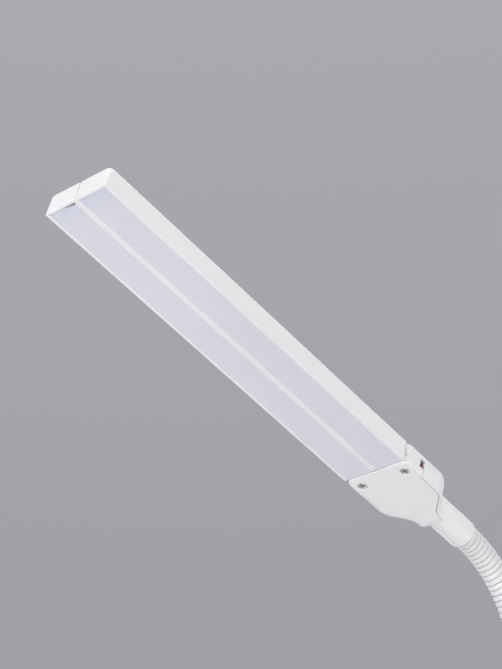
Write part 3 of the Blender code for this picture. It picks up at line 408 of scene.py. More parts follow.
def milky_diffuser(name, colour):
    """Milky plastic with painted shade, a little darker and bluer, over the last part before the bars' tips."""
    material = moulded_plastic(name, colour, (0.28, 0.36), 0.02, 900.0, 0.06)
    tree = material.node_tree
    along = add_node(tree, "ShaderNodeVectorMath", operation="DOT_PRODUCT")
    tree.links.new(add_node(tree, "ShaderNodeTexCoord").outputs["Object"], along.inputs[0])
    along.inputs[1].default_value = HEAD_ALONG
    start = float(HEAD_ORIGIN @ HEAD_ALONG) * MM
    ends = add_node(tree, "ShaderNodeMapRange")
    ends.inputs["From Min"].default_value = start + 0.268
    ends.inputs["From Max"].default_value = start + 0.289
    tree.links.new(along.outputs["Value"], ends.inputs["Value"])
    # painted shade near the tips: the colour darkens along the head's length over its last 21 mm
    darken(tree, tree.nodes["Principled BSDF"], ends.outputs["Result"], (0.08, 0.07, 0.02))
    return material


def steel(name, colour, rough=(0.22, 0.42)):
    material, tree, shader = shader_of(name, rough[0], 1.0)
    vary_colour(tree, shader, colour, 0.12, 700.0)
    # painted shade: the shade attribute darkens the screws' cross pits and rims
    shade = add_node(tree, "ShaderNodeAttribute", attribute_name="shade")
    darken(tree, shader, shade.outputs["Fac"], (0.93, 0.93, 0.93))
    vary_roughness(tree, shader, *rough, 900.0)
    grain(tree, shader, 5200.0, 0.2, 0.00002)
    return material


def make_materials(colours):
    """One finish for each material slot of the record."""
    return {
        "white_plastic": moulded_plastic("satin_white_plastic", colours.plastic),
        "diffuser_plastic": milky_diffuser("milky_diffuser", colours.diffuser),
        "neck_sleeve": ribbed_sleeve("ribbed_sleeve", colours.sleeve),
        "pad_rubber": moulded_plastic("grip_rubber", colours.rubber, (0.7, 0.9), 0.12, 1500.0, 0.6),
        "button_grey": button_plastic("button_plastic", colours.button),
        "board_white": moulded_plastic("white_board", colours.board, (0.4, 0.5), 0.02, 2000.0, 0.1),
        "board_green": moulded_plastic("green_board", (0.03, 0.17, 0.08), (0.3, 0.45), 0.1, 1200.0, 0.2),
        "screw_steel": steel("screw_steel", colours.steel),
        "wire_jacket": moulded_plastic("wire_jacket", colours.wire, (0.4, 0.6), 0.15, 1200.0, 0.3),
        "washer_nylon": moulded_plastic("washer_nylon", (0.75, 0.74, 0.70), (0.45, 0.55), 0.03),
    }


MATERIALS = {}


# ---------------------------------------------------------------- light bars

def rim_tabs(x, middles, length, height):
    """Extra rim width at the snap tabs: a smooth step up and down round each middle."""
    reach = np.abs(x[:, None] - np.asarray(middles)[None, :])
    return height * np.clip((length / 2 - reach) / 1.5 + 0.5, 0, 1).max(axis=1)


def bar_ring(size, side, level, inset, tip_inset=None, root_inset=None, tabs=0.0):
    """One ring of the shell: up the inner side, round the tip, back along the outer side and across the root,
    where the rim stays open and the ring drops to the seat of the diffuser."""
    tip_inset = inset if tip_inset is None else tip_inset
    root_inset = inset if root_inset is None else root_inset
    run = np.concatenate(([1.5], np.linspace(4, BAR_LENGTH - 4, 95)))
    at_front_edge = level < SEAT_LEVEL and inset <= size.rim_round
    low = BAR_INNER + (0.25 * inset if at_front_edge else inset)
    high = BAR_OUTER - inset
    share = level / BAR_HEIGHT
    corner, crease = size.tip_round * (0.35 + 0.65 * share), 0.3 + 1.9 * share
    reach, turn = max(corner, tip_inset), max(corner - tip_inset, 0.01)
    tip = BAR_LENGTH - reach
    inner = np.column_stack((run, low + rim_tabs(run, (35, 150, 265), size.tab_length, tabs)))
    outer = np.column_stack((run, high - rim_tabs(run, (30, 137, 252), size.tab_length, tabs)))[::-1]
    bend, fold = max(crease, tip_inset), max(crease - tip_inset, 0.01)
    nose = np.concatenate((arc((BAR_LENGTH - bend, max(low, BAR_INNER + bend)), fold, -90, 0, 6),
                           arc((tip, BAR_OUTER - reach), turn, 0, 90, 6)))
    reach, turn = max(size.root_round, root_inset), max(size.root_round - root_inset, 0.01)
    heel = arc((reach, BAR_OUTER - max(size.root_round, inset)), turn, 90, 180, 4)
    toe = arc((reach, BAR_INNER + max(size.root_round, inset)), turn, 180, 270, 4)
    edge = BAR_OUTER - size.rim_width, BAR_INNER + size.rim_width
    across = np.array((edge[0] + 0.02, edge[0] - 0.02, *np.linspace(edge[0] - 1, edge[1] + 1, 5),
                       edge[1] + 0.02, edge[1] - 0.02)).clip(low, high)
    root = np.column_stack((np.full(len(across), root_inset), across))
    outline = np.concatenate((inner, nose, outer, heel, root, toe))
    ring = at_level(outline, level)
    start = len(inner) + len(nose) + len(outer) + len(heel) + 1
    mouth = slice(start, start + len(across) - 2)
    if level < SEAT_LEVEL:
        ring[mouth, 0] = 0.0
        ring[mouth, 2] = SEAT_LEVEL
    ring[:, 1] *= side
    return ring


def bar_shell(size, side_name, side):
    """A long trough: from the ceiling of its hollow down to the diffuser's seat, over the rim with its snap tabs,
    up the outer wall and over the rounded back."""
    rim = size.rim_width
    rows = [bar_ring(size, side, 14.2, 3.0, root_inset=1.8), bar_ring(size, side, SEAT_LEVEL, 3.0,
            root_inset=1.8),
            bar_ring(size, side, SEAT_LEVEL, rim, root_inset=0.0)]
    for inset, level, tabs in ((rim, 0.6, 0), (rim, 0.55, size.tab_height), (rim, 0.25, size.tab_height),
                               (rim - 0.07, 0.07, size.tab_height), (rim - 0.25, 0.0, size.tab_height)):
        rows.append(bar_ring(size, side, level, inset, tabs=tabs))
    for inset, level in [(0.7, 0.0), *reversed(edge_round(size.rim_round, 0.0, up=False)), (0.0, SEAT_LEVEL),
                         *edge_round(size.bar_round, BAR_HEIGHT, steps=8), (size.bar_round + 0.4,
                                 BAR_HEIGHT)]:
        rows.append(bar_ring(size, side, level, inset))
    shape = Shape()
    shape.grid(rows, caps=(True, True))
    piece = shape.build(f"{side_name}_bar_case", MATERIALS["white_plastic"], head=True)
    place(piece, f"{side_name}_bar", "white_plastic", f"{side_name}_bar_shell")


def bar_diffuser(size, side_name, side, tip_gap):
    """A flat milky strip with softly rounded edges in the trough's rim; a gap to the rim at its tip end opens
    towards the lamp's middle."""
    low, high = BAR_INNER + size.rim_width - 0.04, BAR_OUTER - size.rim_width + 0.04

    def outline(inset):
        y = np.linspace(high - inset, low + inset, 24)
        share = np.clip(((high - y) / (high - low) - 0.42) / 0.45, 0, 1)
        tip = np.column_stack((BAR_LENGTH - size.rim_width + 0.04 - inset - tip_gap * share, y))
        root = np.array(((inset - 0.4, low + inset), (inset - 0.4, high - inset)))
        return np.concatenate((tip, root)) * (1, side)

    shape = Shape()
    slab(shape, outline, size.recess, SEAT_LEVEL - 0.3, 0.03, 0.03)
    piece = shape.build(f"{side_name}_diffuser_strip", MATERIALS["diffuser_plastic"], head=True)
    place(piece, f"{side_name}_bar", "diffuser_plastic", f"{side_name}_diffuser")


# ---------------------------------------------------------------- yoke

def bell_sides(inset, wall_inset=None, steps=10):
    """The rear of the yoke's plan on its right: shoulder, throat and rear corner."""
    inset = inset if wall_inset is None else wall_inset + inset
    return np.concatenate((
        arc((SHOULDER_X, BAR_OUTER - SHOULDER_RADIUS), SHOULDER_RADIUS - inset, 90, 135, steps),
        arc((THROAT_X, REAR_HALF + THROAT_RADIUS), THROAT_RADIUS + inset, -45, -90, steps),
        arc((YOKE_REAR + REAR_RADIUS, REAR_HALF - REAR_RADIUS), max(REAR_RADIUS - inset, 0.02), 90, 180, 4)))


def mirrored(right):
    """The right half of a plan and its mirror image in one loop."""
    return np.concatenate((right, right[::-1] * (1, -1)))


def roof_outline(inset):
    """Plan of the yoke: rounded front corners, straight sides, then the bell down to the collar."""
    front = arc((YOKE_FRONT - FRONT_RADIUS, BAR_OUTER - FRONT_RADIUS), FRONT_RADIUS - inset, 0, 90, 8)
    return mirrored(np.concatenate((front, bell_sides(inset))))


def cover_outline(inset):
    """Plan of the cover: as wide as the yoke in front of the slots, then inside the shell's rim."""
    rim = YOKE_WALL + 0.3
    step = SLOT_REAR + 0.3 + inset
    front = arc((YOKE_FRONT - FRONT_RADIUS, BAR_OUTER - FRONT_RADIUS), FRONT_RADIUS - inset, 0, 90, 8)
    corner = ((step, BAR_OUTER - inset), (step, BAR_OUTER - rim - inset))
    return mirrored(np.concatenate((front, corner, bell_sides(inset, rim))))


def ear_outline(inset, side):
    """Plan of the cover's cheek under a hinge: the yoke's rounded front corner and a straight back."""
    inner = 10.2
    front = arc((YOKE_FRONT - FRONT_RADIUS, BAR_OUTER - FRONT_RADIUS), FRONT_RADIUS - inset, 0, 90, 8)
    back = SLOT_REAR + 0.3 + inset
    outline = np.concatenate((front, ((back, BAR_OUTER - inset), (back, inner + inset),
                                      (YOKE_FRONT - inset, inner + inset))))
    return outline * (1, side)


def yoke_cover(size):
    """A plate with a softly rounded edge and a stepped round recess for each screw, on two hinge cheeks."""
    shape = Shape()
    edge = [(1.2, 0.0), *reversed(edge_round(size.cover_round, 0.0, up=False)), (0.0, 1.7), (0.3, 2.0)]
    shape.grid([at_level(cover_outline(inset), level) for inset, level in edge], caps=(False, True))
    recess = ((size.recess_radius + 0.6, 0.0), (size.recess_radius + 0.25, 0.0),
              (size.recess_radius + 0.07, 0.07),
              (size.recess_radius, 0.25), (size.recess_radius, 1.9), (size.recess_radius - 0.1, 1.95),
              (size.recess_radius - 0.4, 1.95))
    rims = []
    for _, side in SIDES:
        centre = (PIVOT_ALONG, PIVOT_ACROSS * side)
        rings = [at_level(arc(centre, radius, 0, 352.5, 47), level) for radius, level in recess]
        rims.append(rings[0][:, :2])
        shape.grid(rings, caps=(False, True))
    shape.flat([cover_outline(1.2), *rims], 0.0)
    for _, side in SIDES:
        slab(shape, lambda inset: ear_outline(inset, side), 1.6, HINGE_LOW, 0.1, 0.03)
    piece = shape.build("yoke_bottom_cover", MATERIALS["white_plastic"], head=True)
    place(piece, "head", "white_plastic", "yoke_lower_cover")


def yoke_shell(size):
    """A roof with a rounded edge, a thin wall that runs round the bell behind the slots, a front wall between the
    hinges and a turned collar that swells out of the roof."""
    shape = Shape()
    slab(shape, roof_outline, HINGE_HIGH, BAR_HEIGHT, 0.03, size.back_round, 5)
    thick, lip = YOKE_WALL, 0.4
    profile = ((thick, HINGE_HIGH + 0.2), (thick, lip + 0.15), (thick - 0.15, lip), (0.45, lip), (0.25,
            lip + 0.03),
               (0.07, lip + 0.15), (0.0, lip + 0.4), (0.0, HINGE_HIGH + 0.2))
    walls = []
    for inset, level in profile:
        front = np.array(((SLOT_REAR, BAR_OUTER - inset), (-28.0, BAR_OUTER - inset)))
        walls.append(at_level(mirrored(np.concatenate((front, bell_sides(inset)))), level))
    shape.grid(np.stack(walls, axis=1), caps=(True, True))
    slab(shape, lambda inset: box_outline((YOKE_FRONT - YOKE_WALL, YOKE_FRONT), (-9.9, 9.9), 0.4, inset),
         2.3, HINGE_HIGH + 0.2, 0.1, 0.1)
    swell = np.linspace(0, 1, 24)
    start, full = -28.0, -60.0
    radius = size.collar_radius
    nose = [(start + (full - start) * t, radius * math.sin(math.pi / 2 * t) ** 0.8) for t in swell]
    lip_round = [(COLLAR_END + 1.6 - 1.6 * math.sin(t), radius - 1.6 * 0.62 * (1 - math.cos(t)))
                 for t in np.linspace(0, math.pi / 2, 9)]
    mouth = [(COLLAR_END, size.sleeve_radius + 0.12), (COLLAR_END + 0.1, size.sleeve_radius + 0.1),
             (COLLAR_END + 6, size.sleeve_radius + 0.1), (COLLAR_END + 6, 0.01)]
    shape.grid(turned([(nose[0][0], 0.01), *nose[1:], *lip_round, *mouth], np.array((0, 0, COLLAR_LEVEL)),
                      (1, 0, 0), (0, 1, 0), 72), caps=(True, True))
    piece = shape.build("yoke_housing", MATERIALS["white_plastic"], head=True)
    place(piece, "head", "white_plastic", "yoke_upper_shell", "neck_top_ferrule")


def hinge_tongue(side_name, side):
    """The flat arm of a bar: a rounded plate that turns on the pivot and runs into the bar."""
    outer, inner, rear = BAR_OUTER - 0.04, 10.5, -16.2

    def outline(inset):
        corners = ((24.0, inner, 2.0, 270), (24.0, 21.3, 2.0, 0), (rear, outer, 0.6, 90), (rear, inner, 4.0,
                180))
        parts = []
        for x, y, radius, turn in corners:
            sx, sy = (-1 if x > 0 else 1), (-1 if y > 15 else 1)
            reach = max(radius, inset)
            parts.append(arc((x + sx * reach, y + sy * reach), max(radius - inset, 0.01), turn, turn + 90, 5))
            if turn == 0:
                parts.append(np.array(((-0.3 - inset, 21.3 - inset), (-0.3 - inset, outer - inset))))
        return np.concatenate(parts) * (1, side)

    shape = Shape()
    slab(shape, outline, HINGE_LOW + 0.04, HINGE_HIGH - 0.04, 0.03, 0.03)
    piece = shape.build(f"{side_name}_hinge_tongue", MATERIALS["white_plastic"], head=True)
    place(piece, f"{side_name}_bar", "white_plastic", f"{side_name}_hinge_arm")


def screw_head(radius, dome, arm, width, depth, rings=26, segments=72):
    """Height over a disc: a shallow dome less a cross-shaped pit whose walls slope a little."""
    r = np.concatenate((np.linspace(0.0, 0.8, rings), np.linspace(0.84, 1.0, 7))) * radius
    t = np.linspace(0, 2 * math.pi, segments, endpoint=False)
    x, y = r[:, None] * np.cos(t), r[:, None] * np.sin(t)
    slope = 0.18
    bars = [np.clip((width - np.abs(a)) / slope, 0, 1) * np.clip((arm - np.abs(b)) / slope, 0, 1)
            for a, b in ((x, y), (y, x))]
    height = dome * (1 - (r[:, None] / radius) ** 2.6) - depth * np.maximum(*bars)
    return x, y, height, np.maximum(*bars)


def pivot_screw(side_name, side):
    """A domed head with a cross recess, seen in the cover's recess, on a plain shank."""
    shape = Shape()
    x, y, height, pit = screw_head(3.3, 0.8, 2.2, 0.5, 1.25)
    middle = np.array((PIVOT_ALONG, PIVOT_ACROSS * side))
    top = np.stack((x + middle[0], y + middle[1], 1.25 - height), axis=-1)
    rim = at_level(arc(middle, 3.3, 0, 355, 71), 1.94)
    neck = [at_level(arc(middle, 1.25, 0, 355, 71), level) for level in (1.94, 12.6)]
    shape.grid(np.concatenate((top, [rim], neck)), caps=(False, True))
    # painted shade: the cross pit gets the full share of the shade attribute, the rim and the shank half of it
    shape.shade = np.concatenate((pit, np.full((3, pit.shape[1]), 0.5))).ravel()
    piece = shape.build(f"{side_name}_pivot_cross_screw", MATERIALS["screw_steel"], head=True, sharp=40)
    place(piece, "head", "screw_steel", f"{side_name}_pivot_screw")


def wires(side_name, side):
    """Two thin leads side by side: smooth curves from behind the slot into the neck."""
    knots = np.array(((-18.7, 23.7, 6.6), (-19.0, 23.4, 9.2), (-22.4, 20.4, 10.2), (-26.0, 18.6, 10.2),
            (-33.0, 14.0, 9.2),
                      (-45.0, 7.6, 10.6), (-62.0, 2.4, COLLAR_LEVEL)))
    t = np.linspace(0, len(knots) - 1, 60)
    path = np.column_stack([np.interp(t, np.arange(len(knots)), knots[:, axis]) for axis in range(3)])
    for _ in range(6):
        path[1:-1] = (path[:-2] + path[1:-1] * 2 + path[2:]) / 4
    shape = Shape()
    for shift in (-0.66, 0.66):
        strand = path + (0.0, 0.0, shift)
        strand[:, 1] *= side
        shape.grid(tube(strand, 0.62), caps=(True, True))
    piece = shape.build(f"{side_name}_leads", MATERIALS["wire_jacket"], head=True, sharp=60)
    place(piece, "head", "wire_jacket", f"{side_name}_wire_pair")


# ---------------------------------------------------------------- neck

def neck_middle(distance):
    """Points and directions of the neck's middle line in the head frame: straight out of the collar, round an arc,
    then straight to the clip; the distance counts from the arc's start."""
    distance = np.asarray(distance, float)
    swing = math.pi / 2 - math.asin(HEAD_ALONG[2])
    angle = np.clip(distance / ARC_RADIUS, 0, swing)
    past = distance - ARC_RADIUS * angle
    x = ARC_START - ARC_RADIUS * np.sin(angle) - past * np.cos(angle)
    z = COLLAR_LEVEL - ARC_RADIUS * (1 - np.cos(angle)) - past * np.sin(angle)
    points = np.stack((x, np.zeros_like(x), z), axis=-1)
    return points, angle


def sleeve_radius(size, distance, turn):
    """Broad rounded ribs with a narrow groove that winds round the sleeve once for each pitch."""
    phase = (distance[:, None] / size.rib_pitch + turn[None, :] / (2 * math.pi)) % 1.0
    off = np.minimum(phase, 1 - phase)
    groove = np.exp(-((off / 0.12) ** 2))
    crown = 0.2 * (1 - (2 * phase - 1) ** 2)
    return size.sleeve_radius - 0.2 + crown - size.groove_depth * groove, groove


def sleeve_piece(size, name, start, end):
    """One closed length of the sleeve: ribbed outside, plain inside."""
    count = max(int((end - start) / 0.25), 8)
    distance = np.linspace(start, end, count + 1)
    turn = np.linspace(0, 2 * math.pi, 56, endpoint=False)
    inner = np.linspace(end, start, 9)
    radius, groove = sleeve_radius(size, distance, turn)
    rows = []
    for along, radius in ((distance, radius), (inner, np.full((9, len(turn)), 7.0))):
        points, angle = neck_middle(along)
        up = np.stack((-np.sin(angle), np.zeros_like(angle), np.cos(angle)), axis=-1)
        rows.append(points[:, None] + radius[..., None] * (np.cos(turn)[None, :, None] * (0.0, 1.0, 0.0)
                                                            + np.sin(turn)[None, :, None] * up[:, None]))
    shape = Shape()
    shape.grid(np.concatenate(rows), along=True)
    # The groove's depth goes into the shade attribute, which the sleeve's material turns into painted shade.
    shape.shade = np.concatenate((groove, np.zeros((9, len(turn))))).ravel()
    return shape.build(name, MATERIALS["neck_sleeve"], head=True, sharp=60)


def make_sleeve(size):
    """The sleeve in twelve lengths; each length after the first stands for a link of the neck, which is hidden."""
    first = ARC_START - (-106.0)
    pitch = 35.3
    joint_at = [first + pitch * (11 - k) for k in range(12)]
    for k in range(12):
        high = joint_at[k] - pitch / 2 if k < 11 else -8.0
        low = joint_at[k] + pitch / 2 if k > 0 else joint_at[0] + 16.5
        piece = sleeve_piece(size, f"neck_sleeve_{k:02d}", high, low)
        nodes = [] if k == 0 else [f"neck_link_{k:02d}"]
        if nodes:
            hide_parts(*nodes)
        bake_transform(piece)


def head_to_row(points):
    return HEAD_ORIGIN + points @ np.stack((HEAD_ALONG, HEAD_ACROSS, HEAD_BACK))


# ---------------------------------------------------------------- clip

def clip_housing(size):
    """The clip's upper jaw and handle: a bent profile drawn out across the clip, with a seat and a hollow under
    the cover, a mouth for the inlet on one side and an ear on each side of the hinge."""
    half = CLIP_WIDTH / 2
    groove = math.degrees(math.asin(JAW_FACE / GROOVE_RADIUS))
    corners = ((21.0, JAW_FACE, 0.8), (24.0, 6.2, 2.0), (22.5, 10.5, 3.0), (3.0, 15.0, 12.0),
               (-3.0, CLIP_TOP, 2.0), (-66.0, CLIP_TOP, 9.0), (-95.0, 20.5, 3.0), (-97.0, 14.5, 2.5),
               (-63.0, 9.5, 9.0), (-52.5, JAW_FACE, 2.2))
    profile = np.concatenate((rounded(corners, 8), arc((GROOVE_X, 0.0), GROOVE_RADIUS, 180 - groove, groove,
            20)))
    top = int(np.argmax(np.where(profile[:, 1] > CLIP_TOP - 0.001,
                                 np.linalg.norm(np.roll(profile, -1, axis=0) - profile, axis=1), 0)))
    edge, steps = size.clip_round, 6
    shape = Shape()
    swept(shape, profile, -half, half, edge, steps, caps=(False, True), skip=(steps, top))
    flat = profile[[top, (top + 1) % len(profile)], 0]
    wide = half - edge
    seat = LID_X[0] - 0.15, LID_X[1] + 0.15
    across = LID_HALF + 0.15
    rings = [at_level(box_outline(seat, (-across, across), 4.0, inset, 8), level) for inset, level in
             ((-0.12, CLIP_TOP), (0.0, CLIP_TOP - 0.12), (0.0, CLIP_TOP - 2.3), (2.3, CLIP_TOP - 2.3), (2.3,
             11.0))]
    shape.flat([((flat[0], -wide), (flat[1], -wide), (flat[1], wide), (flat[0], wide)), rings[0][:, :2]],
            CLIP_TOP)
    shape.grid(rings, caps=(False, True))
    mouth = [(inset, y) for inset, y in ((-0.12, -half), (0.0, -half + 0.12), (0.0, -half + 7.6))]
    x, z = (INLET[0] - 4.7, INLET[0] + 4.7), (INLET[1] - 1.85, INLET[1] + 1.85)
    plans = [box_outline(x, z, 1.5, inset, 6) for inset, _ in mouth]
    shape.flat([moved_in(profile, edge), plans[0]], -half, upright=True)
    shape.grid([np.column_stack((plan[:, 0], np.full(len(plan), y), plan[:, 1]))
                for plan, (_, y) in zip(plans, mouth)], caps=(False, True))
    ear = np.concatenate((arc(PIVOT, 7.5, 0, -180, 28), ((PIVOT[0] - 7.5, 5.0), (PIVOT[0] + 7.5, 5.0))))
    for low, high in ((18.3, half - 0.2), (0.2 - half, -18.3)):
        swept(shape, ear, low, high, 0.5)
    for step in range(7):
        middle = -91.0 + 3.0 * step
        level = 21.9 + (middle + 91.0) * 0.185
        ridge = rounded(((middle - 0.9, level - 1.0, 0.2), (middle - 0.7, level + 0.35, 0.4),
                         (middle + 0.7, level + 0.6, 0.4), (middle + 0.9, level - 1.0, 0.2)), 4)
        swept(shape, ridge, 6.0 - half, half - 6.0, 0.3)
    piece = shape.build("clip_housing", MATERIALS["white_plastic"])
    place(piece, "clip", "white_plastic", "clip_body")


def clip_cover():
    """The flat cover of the clip: a plate with rounded edges and a bevelled round hole for the neck and for each
    button."""
    shape = Shape()
    low = CLIP_TOP - 2.0
    x, y = LID_X, (-LID_HALF, LID_HALF)
    profile = ((0.0, low), *edge_round(0.35, CLIP_TOP, steps=4))
    shape.grid([at_level(box_outline(x, y, 4.0, inset, 8), level) for inset, level in profile])
    holes = [((PIVOT[0], 0.0), 9.4, 64), *(((BUTTON_X, y), 4.3, 40) for _, y, _ in BUTTONS)]
    rims = []
    for centre, radius, count in holes:
        rings = [at_level(arc(centre, wide, 0, 360 - 360 / count, count - 1), level) for wide, level in
                 ((radius + 0.25, CLIP_TOP), (radius + 0.07, CLIP_TOP - 0.07), (radius, CLIP_TOP - 0.25),
                 (radius, low))]
        rims.append((rings[0][:, :2], rings[-1][:, :2]))
        shape.grid(rings)
    shape.flat([box_outline(x, y, 4.0, 0.35, 8), *(rim[0] for rim in rims)], CLIP_TOP)
    shape.flat([box_outline(x, y, 4.0, 0.0, 8), *(rim[1] for rim in rims)], low)
    piece = shape.build("clip_cover_plate", MATERIALS["white_plastic"])
    place(piece, "clip", "white_plastic", "clip_top_cover")


def foot_collar():
    """The collar round the neck's foot: a rounded base that sweeps up in a hollow curve to a rounded lip."""
    low, high = CLIP_TOP + 0.05, 34.5
    t = np.linspace(0, math.pi / 2, 14)
    base = [(low + 1.0 - 1.0 * math.cos(a), 14.2 + 0.8 * math.sin(a)) for a in t[::3]]
    sweep = [(low + 1.4 + (high - low - 2.0) * (1 - math.cos(a)),
            10.4 + 4.4 * (1 - math.sin(a)) ** 1.3) for a in t]
    lip = [(high - 0.6 + 0.6 * math.sin(a), 9.8 + 0.6 * math.cos(a)) for a in t[::3]]
    rows = [(low, 9.05), (low, 13.4), *base, *sweep, *lip, (high, 9.3), (high - 0.25, 9.05)]
    shape = Shape()
    shape.grid(turned(rows, np.array((PIVOT[0], 0.0, 0.0)), (0, 0, 1), (1, 0, 0), 72), along=True)
    piece = shape.build("neck_foot_collar", MATERIALS["white_plastic"], sharp=50)
    place(piece, "clip", "white_plastic", "neck_base_collar")


def button_marks(kind, x, y):
    """Share of the raised mark at each place of a button: a ring with a stroke, a sun or a half-filled ring."""
    r, t = np.hypot(x, y), np.arctan2(y, x)

    def line(off, wide=0.22):
        return np.clip((wide + 0.12 - np.abs(off)) / 0.12, 0, 1)

    ring = line(r - 1.6)
    if kind == "power":
        return np.maximum(ring * np.clip((np.abs(t) - 0.5) / 0.12, 0, 1), line(y) * line(x - 1.4, 0.9))
    if kind == "brightness":
        rays = line(np.abs((t * 4 / math.pi + 0.5) % 1 - 0.5) * r * math.pi / 4) * line(r - 2.0, 0.45)
        return np.maximum(np.clip((1.0 - r) / 0.12, 0, 1), rays)
    return np.maximum(ring, np.clip((1.6 - r) / 0.12, 0, 1) * np.clip(y / 0.12, 0, 1))


def push_button(name, middle, kind):
    """A round button with a dished top, a soft rim and a raised mark."""
    r = np.concatenate((np.linspace(0.0, 3.0, 40), np.linspace(3.05, 3.98, 12)))
    t = np.linspace(0, 2 * math.pi, 72, endpoint=False)
    x, y = r[:, None] * np.cos(t), r[:, None] * np.sin(t)
    edge = np.clip((r - 3.3) / 0.7, 0, 1)
    dish = -0.45 * np.clip(1 - r / 3.2, 0, 1) ** 0.8
    height = (dish - 0.7 * (1 - np.sqrt(np.clip(1 - edge ** 2, 0, 1))))[:, None] + 0.16 * button_marks(kind,
            x, y)
    top = np.stack((x + BUTTON_X, y + middle, CLIP_TOP + 1.0 + height), axis=-1)
    wall = [at_level(arc((BUTTON_X, middle), radius, 0, 355, 71), level) for radius, level in
            ((4.0, CLIP_TOP + 0.2), (4.0, CLIP_TOP - 2.3), (4.6, CLIP_TOP - 2.3), (4.6, CLIP_TOP - 4.0))]
    shape = Shape()
    shape.grid(np.concatenate((top, wall)), caps=(False, True))
    shape.shade = np.concatenate((button_marks(kind, x, y), np.zeros((4, 72)))).ravel()
    piece = shape.build(f"{name}_cap", MATERIALS["button_grey"], sharp=50)
    place(piece, f"{kind}_key", "button_grey", name)


def jaw_bodies(size):
    """The lower jaw and its handle: a wide jaw plate in front, and behind it a narrower body whose middle leaves
    room for the spring round the hinge."""
    half = CLIP_WIDTH / 2
    front = ((21.0, LOWER_FACE, 0.8), (24.0, LOWER_FACE - 2.9, 2.0), (21.5, LOWER_FACE - 6.8, 2.5),
             (-10.0, -14.5, 20.0))
    groove = math.degrees(math.asin(-LOWER_FACE / GROOVE_RADIUS))
    dip = arc((GROOVE_X, 0.0), GROOVE_RADIUS, 180 + groove, 360 - groove, 20)
    plate = np.concatenate((rounded((*front, (PIVOT[0] + 11.0, -15.7, 2.0), (PIVOT[0] + 11.0, LOWER_FACE,
            0.0)), 8),
                            dip[(dip[:, 0] > PIVOT[0] + 11.2)]))
    handle = ((PIVOT[0] + 6.0, -16.0, 12.0), (*beside_handle(16, -6.5), 8.0), (*beside_handle(56, -4), 2.2),
              (*beside_handle(56, 3.2), 1.6))
    hub = arc(PIVOT, 7.0, 197, 5, 28)
    room = arc(PIVOT, 7.6, 208, 355, 28)
    shape = Shape()
    swept(shape, plate, -half, half, size.jaw_round, 5)
    cheek = np.concatenate((rounded((*front, *handle), 8), hub, dip))
    core = np.concatenate((rounded((*front, *handle), 8), room, dip))
    swept(shape, cheek, 12.0, 18.0, 0.4)
    swept(shape, cheek, -18.0, -12.0, 0.4)
    swept(shape, core, -12.05, 12.05, 0.02, 1)
    piece = shape.build("lower_jaw_and_handle", MATERIALS["white_plastic"])
    place(piece, "clip_jaw", "white_plastic", "lower_jaw")


def beside_handle(along, above):
    """A point beside the lower handle's middle line, as (x, z)."""
    c, s = math.cos(math.radians(30)), math.sin(math.radians(30))
    return PIVOT[0] - c * along - s * above, PIVOT[1] - s * along + c * above


def torsion_spring():
    """The spring round the hinge: a coil whose upper leg lies in the housing, and a lower leg that turns with
    the lower jaw. Both are round wire along a helix that runs out into a straight line. The lower leg keeps a hook
    of the helix that is longer than the jaw's travel and a little thinner than the coil, so that the two still
    meet when the jaw opens."""
    (lower_way, lower_length), (upper_way, upper_length) = LOWER_LEG, UPPER_LEG
    first = lower_way - 1.5 * math.pi
    last = upper_way - 0.5 * math.pi + 2 * math.pi * SPRING_TURNS
    travel = math.radians(JOINTS["jaw_hinge"]["range_deg"][1])

    def helix(end, count):
        t = np.linspace(first, end, count)
        x, z = PIVOT[0] + SPRING_RADIUS * np.cos(t), PIVOT[1] + SPRING_RADIUS * np.sin(t)
        return np.stack((x, SPRING_HALF_WIDTH * (2 * (t - first) / (last - first) - 1), z), axis=1)

    def leg(start, way, length):
        reach = np.linspace(0, length, 12)[1:, None]
        return start + reach * (math.cos(way), 0.0, math.sin(way))

    coil, hook = helix(last, 260), helix(first + travel + HOOK_SPARE, 12)
    coil_path = np.concatenate((coil, leg(coil[-1], upper_way, upper_length)))
    leg_path = np.concatenate((leg(hook[0], lower_way, lower_length)[::-1], hook))
    for name, body, thickness, path, nodes in (
            ("spring_coil", "clip", SPRING_WIRE, coil_path, ["clip_spring"]),
            ("spring_lower_leg", "clip_jaw", SPRING_WIRE - HOOK_THINNER, leg_path, [])):
        shape = Shape()
        shape.grid(tube(path, thickness), caps=(True, True))
        piece = shape.build(name, MATERIALS["screw_steel"], sharp=60)
        place(piece, body, "screw_steel", *nodes)


def grip_pad(name, body, node, face, back):
    """A rubber pad whose gripping face is a row of rounded ribs across the jaw."""
    x = np.linspace(-16.7, 16.7, 240)
    inwards = 1 if back > face else -1
    ribs = face + inwards * 0.55 * np.abs(np.sin(math.pi * (x + 16.7) / 2.386)) ** 3
    outline = np.concatenate((np.column_stack((x, ribs)), ((17.0, face + inwards * 0.4), (17.0, back),
                                                           (-17.0, back), (-17.0, face + inwards * 0.4))))
    shape = Shape()
    swept(shape, outline, -19.0, 19.0, 0.25, 3)
    piece = shape.build(name, MATERIALS["pad_rubber"], sharp=50)
    place(piece, body, "pad_rubber", node)


# ---------------------------------------------------------------- sizes and colours

def length(name, description, millimetres):
    return bpy.props.FloatProperty(name=name, description=description, default=millimetres * MM,
                                   unit="LENGTH", precision=5)


def colour(name, description, value):
    return bpy.props.FloatVectorProperty(name=name, description=description, default=value, size=3,
                                         subtype="COLOR", min=0.0, max=1.0)


